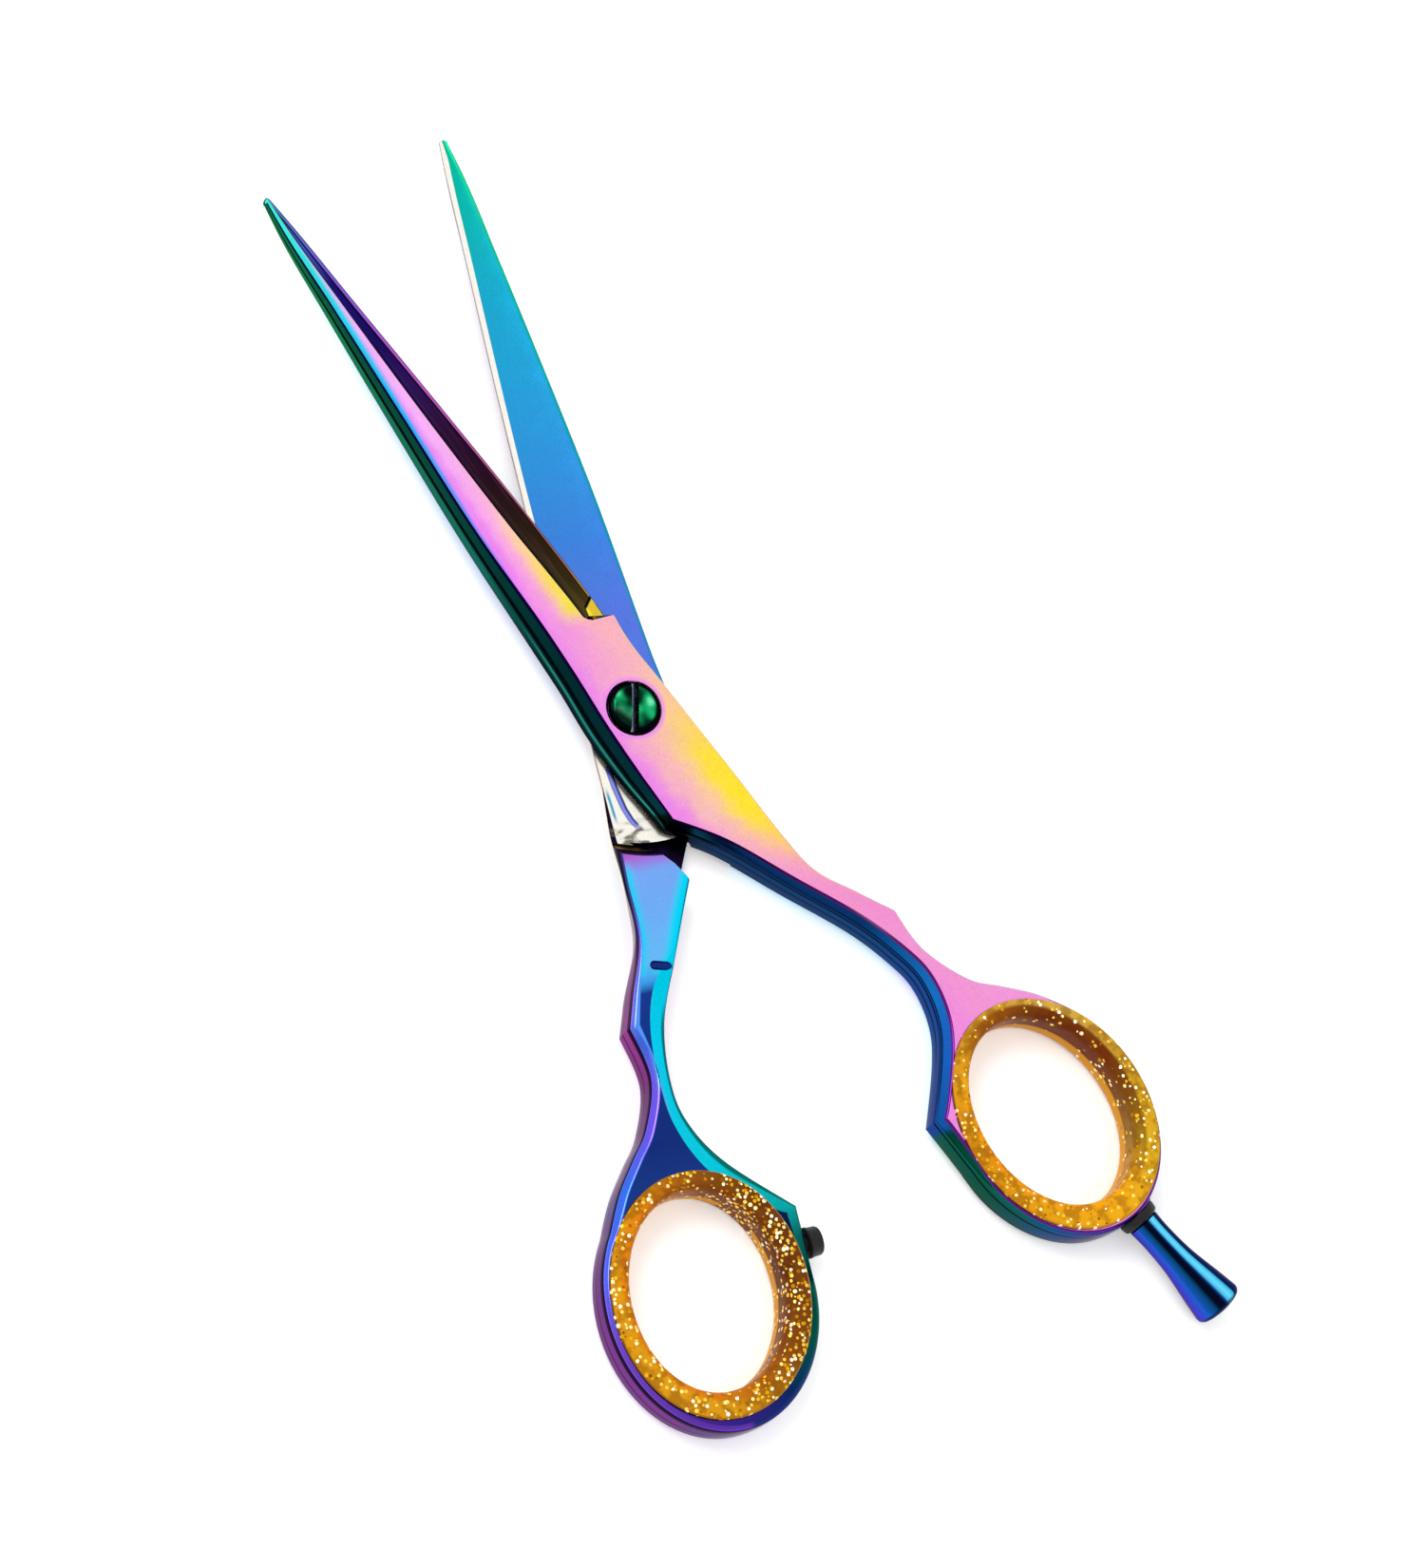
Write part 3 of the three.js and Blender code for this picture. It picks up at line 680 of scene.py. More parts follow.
def bumper_frame():
    """On the flat of the thumb ring, facing the other ring."""
    top, low = THUMB["left"][-1], ellipse(THUMB["ring"], np.array([math.pi]))[0]
    share = (BUMPER_Y - top[1]) / (low[1] - top[1])
    face_x = top[0] + (low[0] - top[0]) * share
    return (THUMB_FRAME @ Matrix.Translation(Vector((face_x - 0.3, BUMPER_Y, 0)) * MM)
            @ Matrix.Rotation(-math.pi / 2, 4, "Y"))


# ---- materials ---------------------------------------------------------------------------------
def linear(colour):
    """A colour given as 0xRRGGBB, as the eye names it, for the renderer."""
    shares = [(colour >> shift & 255) / 255 for shift in (16, 8, 0)]
    return (*[c / 12.92 if c <= 0.04 else ((c + 0.055) / 1.055) ** 2.4 for c in shares], 1)


class Shade:
    """One material's node graph. Places are in the object's own millimetres.

    colour is the colour so far, which each step lays something over.
    """

    def __init__(self, name):
        self.colour = None
        self.material = bpy.data.materials.new(name)
        self.material.use_nodes = True
        self.tree = self.material.node_tree
        self.shader = self.tree.nodes["Principled BSDF"]
        self.place = self.vector("SCALE", {0: self.node("ShaderNodeTexCoord").outputs["Object"], 3: 1 / MM})
        self.x, self.y, self.z = self.node("ShaderNodeSeparateXYZ", {0: self.place}).outputs

    def feed(self, socket, value):
        """Gives a socket a number, a colour or another node's output."""
        if isinstance(value, bpy.types.NodeSocket):
            self.tree.links.new(value, socket)
        else:
            socket.default_value = value

    def node(self, kind, inputs={}, **settings):
        node = self.tree.nodes.new(kind)
        for key, value in settings.items():
            setattr(node, key, value)
        for key, value in inputs.items():
            self.feed(node.inputs[key], value)
        return node

    def vector(self, operation, inputs):
        return self.node("ShaderNodeVectorMath", inputs, operation=operation).outputs[0]

    def math(self, operation, a, b=0.0):
        return self.node("ShaderNodeMath", {0: a, 1: b}, operation=operation).outputs[0]

    def times(self, a, b):
        return self.math("MULTIPLY", a, b)

    def plus(self, a, b):
        return self.math("ADD", a, b)

    def minus(self, a, b):
        return self.math("SUBTRACT", a, b)

    def over(self, a, b):
        return self.math("DIVIDE", a, b)

    def spread(self, value, low, high, to_low=0.0, to_high=1.0, **settings):
        """The value taken from one range to another, and held inside it."""
        inputs = {"Value": value, "From Min": low, "From Max": high, "To Min": to_low, "To Max": to_high}
        return self.node("ShaderNodeMapRange", inputs, **settings).outputs[0]

    def ease(self, value, low, high):
        """0 at low, 1 at high, smooth between."""
        return self.spread(value, low, high, interpolation_type="SMOOTHSTEP")

    def fade(self, value, low, high):
        """1 at low, 0 at high, smooth between."""
        return self.minus(1.0, self.ease(value, low, high))

    def ramp(self, value, stops, to_colour=linear):
        """A colour along a value, from {value: colour} stops."""
        stops = sorted(stops.items())
        low, high = stops[0][0], stops[-1][0]
        node = self.node("ShaderNodeValToRGB", {0: self.spread(value, low, high)})
        elements = node.color_ramp.elements
        for _ in range(len(stops) - 2):
            elements.new(0.5)
        for element, (stop, _) in zip(elements, stops):
            element.position = (stop - low) / (high - low)
        for element, (_, colour) in zip(elements, stops):
            element.color = to_colour(colour)
        return node.outputs[0]

    def curve(self, value, points):
        """A number along a value, straight between {value: number} points."""
        low, high = min(points.values()), max(points.values())
        grey = self.ramp(value, points, lambda n: (*[(n - low) / (high - low)] * 3, 1))
        return self.spread(grey, 0.0, 1.0, low, high)

    def mix(self, factor, a, b):
        node = self.node("ShaderNodeMix", data_type="RGBA")
        self.feed(node.inputs[0], factor)
        for socket, colour in ((node.inputs[6], a), (node.inputs[7], b)):
            self.feed(socket, linear(colour) if isinstance(colour, int) else colour)
        return node.outputs[2]

    def band(self, value, low, high, soft=0.08):
        """1 between low and high, with soft ends."""
        rise = self.ease(value, low - soft, low + soft)
        return self.times(rise, self.fade(value, high - soft, high + soft))

    def lay(self, factor, colour, strength=1.0):
        self.colour = self.mix(self.times(factor, strength), self.colour, colour)

    def stripes(self, value, table, strength=1.0):
        """Lays (low, high, colour) stripes along a value."""
        for low, high, stripe in table:
            self.lay(self.band(value, low, high), stripe, strength)

    def noise(self, size, detail=3.0, stretch=(1, 1, 1)):
        """Grey noise about 0.5 with features about a size across, drawn out by stretch."""
        scaled = self.vector("MULTIPLY", {0: self.place, 1: [1 / (size * s) for s in stretch]})
        return self.node("ShaderNodeTexNoise", {"Vector": scaled, "Scale": 1.0, "Detail": detail}).outputs[0]

    def angle(self, centre):
        """The angle about a centre in plan, from -pi to pi."""
        return self.math("ARCTAN2", self.minus(self.y, centre[1]), self.minus(self.x, centre[0]))

    def turn(self, centre):
        """The angle about a centre in plan, from 0 to 2 pi."""
        return self.math("MODULO", self.plus(self.angle(centre), 2 * math.pi), 2 * math.pi)

    def distance(self, centre, axes=(1, 1)):
        """The distance in plan from a centre, as a share of an ellipse's half axes where given."""
        squares = [self.math("POWER", self.over(self.minus(at, middle), size), 2.0)
                   for at, middle, size in zip((self.x, self.y), centre, axes)]
        return self.math("SQRT", self.plus(*squares))

    def grain(self, size, amount):
        """Lightens and darkens the colour by fine noise."""
        level = self.spread(self.noise(size), 0.3, 0.7, 1 - amount, 1 + amount)
        self.colour = self.vector("SCALE", {0: self.colour, 3: level})

    def bump(self, height, distance, strength=1.0):
        inputs = {"Height": height, "Distance": distance * MM, "Strength": strength}
        node = self.node("ShaderNodeBump", inputs)
        self.feed(self.shader.inputs["Normal"], node.outputs[0])

    def done(self, metallic, roughness, **settings):
        values = {"Base Color": self.colour, "Metallic": metallic, "Roughness": roughness, **settings}
        for key, value in values.items():
            self.feed(self.shader.inputs[key.replace("_", " ")], value)
        return self.material


def coating(s, roughness, grain_size, grain, wear=0.03):
    """Finishes a coated steel surface: fine grain, and roughness that varies in soft patches."""
    s.grain(grain_size, grain)
    rough = s.spread(s.noise(2.5, 2.0), 0.3, 0.7, roughness - wear, roughness + wear)
    s.bump(s.noise(grain_size, 2.0), 0.01, 0.25)
    return s.done(1.0, rough, Specular_Tint=EDGE_TINT)


def across_blade(s):
    """Height on the blade's spine, as a share of the outer face's height there."""
    return s.over(s.z, s.curve(s.y, {y: face for y, *_, face in BLADE}))


def face_material():
    s = Shade("coating_face")
    left = s.ramp(s.y, {79: 0x3cc8d7, 66: 0x78bef0, 56: 0xd7a5f5, 45: 0xe891f0, 20: 0xeb82ee, 5: 0xe880ee,
                        -12: 0xec87e8, -30: 0xf08cd4, -62: 0xf08ede})
    right = s.ramp(s.y, {64: 0xebbef0, 45: 0xf3acec, 32: 0xf7b2d4, 26: 0xfccda5, 20: 0xfad864,
                         14.5: 0xf4de4c, 12.2: 0xf8afbe, 5: 0xf7b6be, 0: 0xf8c3a5, -5: 0xfad078,
                         -10: 0xfdde41, -18: 0xffe232, -23: 0xfdd45a, -28: 0xf7aaaa, -36: 0xf08ecd,
                         -50: 0xf19cd6, -62: 0xf091dc})
    middle = s.curve(s.y, {64: -0.5, 40: -0.8, 26: -1.2, 15: -1.4, 8: -0.2, 0: 0.3, -8: 0.1, -18: 1.2,
                           -24: 3.6, -30: 7.2, -50: 15.5})
    reach = s.curve(s.y, {64: 0.8, 40: 1.3, 26: 1.5, 15: 2.4, 10: 4.0, 0: 4.6, -18: 3.6, -30: 3.4})
    cloud = s.times(s.minus(s.noise(2.2, 3.0), 0.5), 0.7)
    across = s.plus(s.over(s.minus(s.x, middle), reach), cloud)
    peach = s.ramp(s.y, {64: 0xeeaff5, 40: 0xf3acf0, 26: 0xf6a5e1, 12: 0xf096de, 4: 0xf3a5cd, -4: 0xf5b2c0,
                         -16: 0xf7bcb9, -24: 0xf6aac3, -32: 0xf294cd, -62: 0xf196d7})
    s.colour = s.mix(s.ease(across, -1.15, -0.2), left, peach)
    s.lay(s.ease(across, -0.3, 0.95), right)
    top = s.curve(s.y, {y: x for y, _, x, *_ in BLADE})
    from_crease = s.minus(s.x, top)
    cool = s.ramp(s.y, {79: 0x3ce1c8, 60: 0x1ecdeb, 45: 0x23a5f5, 28: 0x7882f5, 16: 0xcd73f5})
    width = s.curve(s.y, {79: 1.1, 58: 1.0, 45: 0.8, 32: 0.55, 12: 0.1})
    share = s.over(from_crease, width)
    s.lay(s.fade(share, 0.4, 1.4), cool)
    # A pink ring over the recess's flared rim is a painted highlight.
    s.lay(s.band(s.distance((0, 0)), 3.4, 4.1, 0.25), 0xec8cf0, 0.75)
    return coating(s, 0.3, 0.2, 0.07, 0.05)


def side_colour(s, wall, ring, ring_centre):
    """Along the handle by height in plan, then round the ring by angle."""
    return s.mix(s.fade(s.y, -59.5, -57.5), s.ramp(s.y, wall), s.ramp(s.turn(ring_centre), ring))


def finger_facet():
    s = Shade("coating_facet")
    handle = {79: 0x0e5c3c, 50: 0x094836, 26: 0x063a36, 8: 0x032a2e, -14: 0x052e38, -18: 0x0a3e54,
              -21: 0x0c3468, -38: 0x0a3269, -44: 0x0e589c, -50: 0x1670be, -56: 0x1a60be}
    ring = {0: 0xf0c8e1, 1.6: 0xf0bee1, 2.0: 0x1a60be, 2.68: 0x1254a0, 2.74: 0x043c32, 3.25: 0x035440,
            3.7: 0x03544c, 4.1: 0x0a4678, 4.5: 0x3c2d82, 5.5: 0x5a3c96, 6.28: 0xc896d7}
    s.colour = side_colour(s, handle, ring, FINGER["ring"])
    share = across_blade(s)
    on_blade = s.ease(s.y, 10.0, 26.0)
    # On the blade, a lighter teal line low on the facet is a painted highlight, like lit below.
    foot = s.ramp(s.y, {79: 0x166e3c, 50: 0x146446, 26: 0x125c50, 8: 0x0c3c3e})
    s.lay(s.times(s.band(share, 0.3, 0.52, 0.03), on_blade), foot)
    s.lay(s.band(share, 0.5, 0.64, 0.03), 0x020a0c)
    off_blade = s.fade(s.y, 8.0, 20.0)
    above_step = s.ease(s.y, -19.0, -16.0)
    lit = s.times(s.band(share, 0.38, 0.46, 0.02), s.times(off_blade, above_step))
    s.lay(lit, 0x288273)
    low_side = s.curve(s.y, {15: 2.0, -14: 1.0, -30: 6.0, -45: 12.3, -55: 14.0})
    is_right = s.times(s.ease(s.minus(s.x, low_side), 0.0, 1.0), s.ease(s.y, -61.0, -58.0))
    right = s.ramp(s.y, {12: 0xebbeaa, -12: 0xf0d278, -22: 0xf0c396, -40: 0xe1a0c8, -60: 0xe6a5d7})
    top_line = s.ease(share, 0.9, 0.95)
    s.lay(top_line, s.ramp(s.y, {30: 0x050528, -20: 0x190232, -40: 0x5f1969, -60: 0x5a1e78}))
    s.lay(is_right, right)
    return coating(s, 0.16, 0.3, 0.08)


def finger_wall():
    s = Shade("coating_finger_wall")
    # Near-black from y 12 down to -16 is painted shade on the wall.
    handle = {79: 0x166e3c, 50: 0x146446, 26: 0x105a4e, 12: 0x041a1c, -16: 0x020c10, -20: 0x0c325f,
              -40: 0x0c4078, -47: 0x12448c, -56: 0x164896}
    ring = {0: 0xebbe78, 1.6: 0xe6a0c8, 2.0: 0x164696, 2.68: 0x143e8c, 2.74: 0x035442, 3.4: 0x034e3e,
            3.75: 0x054e56, 4.1: 0x0c4b8c, 4.4: 0x463296, 5.2: 0x783ca0, 6.28: 0xe1aabe}
    s.colour = side_colour(s, handle, ring, FINGER["ring"])
    below_step = s.fade(s.y, -20.0, -17.0)
    # Below the step, the stripe from z -3 to -1.8 is painted shade on the wall's lower part.
    s.stripes(s.z, [(-3.0, -1.8, 0x040814), (1.1, 1.5, 0x030a14)], below_step)
    above_ring = s.times(below_step, s.ease(s.y, -60.0, -56.0))
    s.stripes(s.z, [(-0.3, 0.15, 0x05233c)], above_ring)
    return coating(s, 0.16, 0.3, 0.08)


def thumb_facet():
    s = Shade("coating_thumb_facet")
    handle = {79: 0x053c23, 50: 0x05321e, 20: 0x052d2d, -18: 0x0e3c78, -60: 0x3c46b4}
    ring = {0: 0x6e2882, 1.5: 0x825abe, 3.0: 0x0a5a6e, 4.7: 0x6432a0, 6.28: 0x6e2882}
    s.colour = side_colour(s, handle, ring, THUMB["ring"])
    return coating(s, 0.16, 0.3, 0.08)


def thumb_wall():
    s = Shade("coating_thumb_wall")
    handle = {79: 0xebe6dc, 20: 0xc8bec8, 6: 0x3c1e50, -4: 0x120824, -22: 0x0e0828, -28: 0x461454,
              -31: 0x96348e, -38: 0x98368e, -46: 0x80307c, -58: 0x7c3286}
    ring = {0: 0x7a328c, 0.8: 0x743086, 1.6: 0x3c6ebe, 3.1: 0x0a7878, 3.6: 0x086248, 4.0: 0x084c54,
            4.45: 0x232d7d, 4.8: 0x6930a0, 5.3: 0x7d3491, 6.28: 0x7a328c}
    s.colour = side_colour(s, handle, ring, THUMB["ring"])
    off_blade = s.fade(s.y, -30.0, -24.0)
    s.stripes(s.z, [(-2.3, -1.35, 0x1a0628), (0.2, 0.6, 0x3c0e3c)], off_blade)
    return coating(s, 0.14, 0.3, 0.08)


def inner_facet():
    s = Shade("coating_inner_facet")
    left = s.ramp(s.y, {-14: 0x00cdf0, -30: 0x00d2f4, -34: 0x00c8e6, -45: 0x0acdee, -58: 0x0ac8dc,
                        -65: 0x0aa5a5, -69: 0x086460, -80: 0x06544a, -88: 0x1e286e})
    right = s.ramp(s.y, {-14: 0x280f3c, -24: 0x323c78, -31: 0x5a6ee1, -38: 0x6978eb, -41: 0x3c64d2,
                         -46: 0x6e5ae6, -52: 0x6e55e6, -58: 0x3c6eeb, -68: 0x5a64f0, -76: 0x6e46be,
                         -88: 0x5a32a0})
    middle = s.curve(s.y, {-14: 2.0, -20: 3.0, -33: 8.2, -40: 11.4, -52: 12.0, -60: 13.5, -88: 13.5})
    s.colour = s.mix(s.ease(s.minus(s.x, middle), -0.5, 0.5), left, right)
    outer_line = s.times(s.ease(s.z, -2.15, -2.0), s.fade(s.y, -40.0, -36.0))
    s.lay(outer_line, s.ramp(s.y, {-38: 0x007882, -66: 0x006e5a, -88: 0x1e1446}))
    return coating(s, 0.18, 0.3, 0.08)


def inner_material():
    s = Shade("coating_inner")
    panel = s.ramp(s.y, {-14: 0x9650aa, -18.2: 0xaf5fc8, -19.4: 0x9680e2, -20.6: 0x76a6f2, -26: 0x6cacf4,
                         -31.5: 0x64b9f6, -34.0: 0x3ca0e8, -35.4: 0x1a388e, -44: 0x16327d, -54: 0x162e76,
                         -62: 0x1e3c8c, -88: 0x3c3c96})
    left_edge = s.curve(s.y, {-14: -4.6, -20: -1.2, -26.4: 2.5, -31.5: 5.0, -34: 8.2, -40: 10.3, -47: 11.8})
    right_edge = s.curve(s.y, {-14: 7.0, -21.5: 7.9, -28.8: 8.5, -35: 10.9, -39: 12.3, -45.6: 11.5,
                               -51.4: 14.0})
    from_left = s.minus(s.x, left_edge)
    from_right = s.minus(right_edge, s.x)
    above_groove = s.ease(s.y, -33.6, -33.0)
    cyan = s.times(s.fade(from_left, 0.2, 1.8), above_groove)
    s.colour = s.mix(cyan, panel, 0x0ad2f6)
    cyan = s.times(s.fade(from_right, 0.3, 1.6), s.times(above_groove, s.fade(s.y, -20.6, -18.4)))
    s.lay(cyan, 0x14cdf4, 0.85)
    below = s.times(s.minus(1.0, above_groove), s.ease(s.y, -47.5, -44.5))
    # A pale blue line along the panel's right edge, below the groove, is a painted highlight.
    light = s.times(s.band(from_right, -0.2, 0.35, 0.12), below)
    s.lay(light, 0x5096f8)
    ring = s.ramp(s.turn(THUMB["ring"]), {0: 0x4650d7, 0.9: 0x385ad7, 1.3: 0x183282, 2.3: 0x10225c,
                                          2.9: 0x081838, 3.3: 0x043c34, 3.8: 0x044e42, 4.3: 0x0a2860,
                                          4.8: 0x322282, 5.5: 0x542e96, 6.28: 0x4650d7})
    s.lay(s.fade(s.y, -63.0, -60.0), ring)
    s.lay(s.ease(s.z, -2.77, -2.62), 0x182e7a)
    return coating(s, 0.28, 0.2, 0.07, 0.05)


def bevel_material():
    s = Shade("coating_bevel")
    s.colour = s.ramp(s.y, {79: 0x285aa0, 72: 0x3c4bbe, 66: 0x140a6e, 58: 0x12085f, 50: 0x2c1254,
                            42: 0x2a0c32, 34: 0x260e1c, 26: 0x281a10, 18: 0x32280e, 14: 0x42360e})
    crease = s.curve(s.y, {y: x for y, _, _, x, *_ in BLADE})
    from_crease = s.minus(s.x, crease)
    s.lay(s.fade(from_crease, 0.05, 0.45), 0x080212)
    streak = s.noise(0.5, 3.0, (1, 18, 1))
    s.lay(s.ease(streak, 0.5, 0.75), 0x6e3c46, 0.2)
    edge = s.curve(s.y, {y: x for y, *_, x, _ in BLADE})
    from_edge = s.over(s.minus(edge, s.x), s.curve(s.y, {79: 0.9, 60: 1.0, 45: 0.85, 30: 0.55, 14: 0.4}))
    rim = s.ramp(s.y, {79: 0x3c78b4, 66: 0x825fd7, 50: 0xbe5cc0, 35: 0xb45682, 20: 0xa56e50, 13: 0xd7b43c})
    s.stripes(from_edge, [(0.8, 1.1, 0x0a0016)])
    s.lay(s.fade(from_edge, 0.7, 0.85), rim)
    s.stripes(from_edge, [(0.3, 0.42, 0x3c1446)], 0.7)
    hook = s.curve(s.x, {1.4: 11.4, 2.4: 11.8, 2.8: 13.3, 3.1: 14.1, 3.6: 14.3, 5.4: 15.2})
    from_hook = s.minus(s.y, hook)
    s.lay(s.fade(from_hook, -0.2, 0.0), 0xe4c434)
    s.stripes(from_hook, [(-0.2, 0.25, 0x0e0a02)])
    return coating(s, 0.14, 0.3, 0.08)


def land_material():
    s = Shade("coating_land")
    s.colour = s.ramp(s.y, {79: 0x4678be, 66: 0x8264d7, 50: 0xa555b9, 30: 0xb45f96, 14: 0xc8965a})
    return coating(s, 0.2, 0.3, 0.05)


def hollow_material():
    s = Shade("coating_hollow")
    s.colour = s.ramp(s.y, {79: 0x0abe96, 74: 0x0ab9a5, 66: 0x14b2b9, 58: 0x1ca8cd, 46: 0x26a0d7,
                            34: 0x3291da, 24: 0x3e82dc, 14: 0x5576dc, -4: 0x5a73dc})
    foot = s.curve(s.y, {y: x for y, x, *_ in BLADE})
    from_foot = s.minus(s.x, foot)
    green = s.ramp(s.y, {79: 0x28c882, 50: 0x00a58c, 30: 0x0096a5, 5: 0x0f82b4})
    s.lay(s.fade(from_foot, 0.2, 0.6), green, 0.85)
    return coating(s, 0.3, 0.22, 0.08, 0.05)


def ride_material():
    """Bare ground steel: the strip along the edge and the flat that rides at the pivot, with painted
    reflections on the flat.
    """
    s = Shade("bare_ground_steel")
    edge = s.curve(s.y, {y: x for y, *_, x, _ in BLADE})
    from_edge = s.minus(edge, s.x)
    outline = s.ramp(s.y, {-8: 0x160c24, -3: 0xa59196})
    s.colour = s.mix(s.ease(from_edge, 0.1, 0.22), outline, 0xfaf6ec)
    # Greyer noise patches on the flat, below y -12.6.
    grey_patches = s.ease(s.noise(1.3, 4.0, (2.5, 1, 1)), 0.46, 0.6)
    s.lay(s.times(grey_patches, s.fade(s.y, -14.4, -12.6)), 0x787669)
    # A blue streak on the flat: a painted reflection.
    stripe = s.times(s.band(s.x, 5.45, 5.8, 0.12), s.band(s.y, -12.8, -9.0, 0.8))
    s.lay(stripe, 0x3ca5c8)
    # A curved pale blue line with a dark blue border: a painted reflection.
    middle = s.curve(s.y, {-15: 2.9, -14.4: 3.2, -13: 3.85, -11.5: 4.26, -8.6: 4.6, -5: 4.7})
    across = s.minus(s.x, middle)
    length = s.band(s.y, -14.2, -6.0, 0.6)
    s.lay(s.times(s.band(across, -0.55, 0.28, 0.08), length), 0x3c3a82)
    s.lay(s.times(s.band(across, -0.25, 0.2, 0.1), length), 0x8292e8)
    s.grain(0.35, 0.05)
    s.bump(s.noise(0.2, 2.0, (8, 1, 1)), 0.01, 0.3)
    return s.done(1.0, 0.22)


def step_material():
    s = Shade("coating_step")
    radius = s.distance((0, 0))
    # A black line at the step's foot, radius 17.0 to 17.25, is painted shade in the crease.
    s.colour = s.ramp(radius, {16.8: 0xebe8e4, 17.0: 0x140c0f, 17.25: 0x1e1010, 17.45: 0x965f19,
                               17.9: 0xb9782d, 18.2: 0x6e3232, 18.7: 0x5a285a, 19.2: 0x965abe})
    return coating(s, 0.2, 0.3, 0.05)


# Painted shade: near-black for the screw recess, the holes and the cut-back corner of the handle, which lie
# in shade.
def painted_shade_material():
    s = Shade("painted_shade_dark")
    s.colour = s.ramp(s.noise(1.2, 2.0), {0.3: 0x0a0614, 0.7: 0x180e2c})
    return coating(s, 0.25, 0.3, 0.05)


def half_materials(facet, wall):
    shared = [face_material, bevel_material, land_material, hollow_material, ride_material, step_material,
              inner_material, inner_facet, painted_shade_material]
    face, bevel, land, hollow, ride, step, inner, rim, dark = [make() for make in shared]
    return [face, facet(), wall(), bevel, land, hollow, ride, step, inner, rim, dark]


def amber_material(name, half, flake_share, tones):
    """Amber plastic full of foil flakes. tones colour its top, inner wall and outer rim by angle: the
    amber's own colour with painted light and shade, the pale stretches of the rim being painted highlights.
    """
    s = Shade(name)
    x, y, rx, ry, _ = half["bore"]
    turn = s.angle((x, y))
    reach = s.distance((x, y), (rx, ry))
    height = s.times(s.z, half["up"])
    top, wall, rim = (s.ramp(turn, tone) for tone in tones)
    s.colour = s.mix(s.fade(reach, 1.1, 1.15), top, wall)
    cloud = s.ease(s.noise(1.3, 4.0), 0.42, 0.62)
    s.lay(cloud, 0x703c04, 0.5)
    # Brighter gold low on the inner wall is painted light.
    foot = s.times(s.fade(height, -0.6, -0.1), s.math("LESS_THAN", reach, 1.03))
    s.lay(foot, 0xd69616, 0.85)
    outside = s.ease(reach, 1.1, 1.14)
    # The rim tones go round the lip's rounding; their pale stretches are painted highlights.
    s.lay(s.times(outside, s.fade(height, 3.24, 3.36)), rim)
    # Dark brown along the lip's outer edge, next to the steel, is painted shade.
    s.lay(s.times(outside, s.fade(height, 3.08, 3.2)), 0x2c1806)
    cells = s.node("ShaderNodeTexVoronoi", {"Vector": s.place, "Scale": 1.9, "Randomness": 1.0})
    pick = s.node("ShaderNodeSeparateColor", {0: cells.outputs["Color"]})
    size = s.plus(s.times(pick.outputs[2], 0.24), 0.3)
    near = s.math("LESS_THAN", cells.outputs["Distance"], size)
    inside = s.math("LESS_THAN", reach, 1.03)
    share = s.times(s.curve(turn, flake_share), s.minus(1.0, s.times(inside, 0.55)))
    chosen = s.times(near, s.math("LESS_THAN", pick.outputs[0], share))
    flake = s.ramp(pick.outputs[1], {0.0: 0x8c5005, 0.35: 0xf0b414, 0.65: 0xffe16e, 1.0: 0xfffae1})
    s.lay(chosen, flake)
    tilt = s.vector("SUBTRACT", {0: cells.outputs["Color"], 1: (0.5, 0.5, 0.5)})
    tilt = s.vector("SCALE", {0: tilt, 3: s.times(chosen, 0.6)})
    normal = s.vector("ADD", {0: s.node("ShaderNodeNewGeometry").outputs["Normal"], 1: tilt})
    s.feed(s.shader.inputs["Normal"], s.vector("NORMALIZE", {0: normal}))
    return s.done(s.times(chosen, 0.85), 0.35, Specular_IOR_Level=0.05)


def finger_amber():
    # Darker stretches of these tones are painted shade and the pale rim tones painted highlights, over the
    # amber's own colour.
    top = {-3.14: 0xc8820a, -1.6: 0xde9e10, -0.9: 0xcda01a, 0.0: 0xb4861e, 0.9: 0xc49c42, 1.6: 0xbe8c24,
           2.4: 0xcd8c10, 3.14: 0xc8820a}
    wall = {-3.14: 0xde8608, -1.5: 0xe49e0e, -0.9: 0x967012, -0.3: 0x704208, 0.1: 0x682a04, 1.1: 0x642804,
            1.7: 0x9a560a, 2.3: 0xde9c10, 3.14: 0xde8608}
    rim = {-3.14: 0xaa6808, -1.2: 0xbe8212, -0.5: 0x8c682c, 0.4: 0xcdaf78, 1.4: 0xa07d42, 2.2: 0xbe7d0e,
           3.14: 0xaa6808}
    share = {-3.14: 0.45, -1.6: 0.2, -0.6: 0.45, 0.0: 0.4, 0.6: 0.2, 1.3: 0.2, 2.2: 0.18, 3.14: 0.45}
    return amber_material("amber_finger", FINGER, share, (top, wall, rim))


def thumb_amber():
    # Darker stretches of these tones are painted shade and the pale rim tones painted highlights, over the
    # amber's own colour.
    top = {-3.14: 0x62320a, -2.2: 0x78420a, -1.4: 0xc88a0e, 0.0: 0xcd8e10, 1.0: 0xc4820e, 1.7: 0x824c0e,
           2.4: 0x5c2c0a, 3.14: 0x62320a}
    wall = {-3.14: 0x542608, -2.2: 0x7d420a, -1.2: 0xcd7608, 1.0: 0xd27a08, 1.9: 0x783e0a, 3.14: 0x542608}
    rim = {-3.14: 0xaa8c60, -2.2: 0x96733c, -1.4: 0xa0680c, 0.0: 0x6e4208, 1.4: 0x875c1e, 2.4: 0xb99664,
           3.14: 0xaa8c60}
    share = {-3.14: 0.95, -1.8: 0.75, -1.0: 0.45, 0.6: 0.55, 1.4: 0.65, 2.4: 0.85, 3.14: 0.95}
    return amber_material("amber_thumb", THUMB, share, (top, wall, rim))


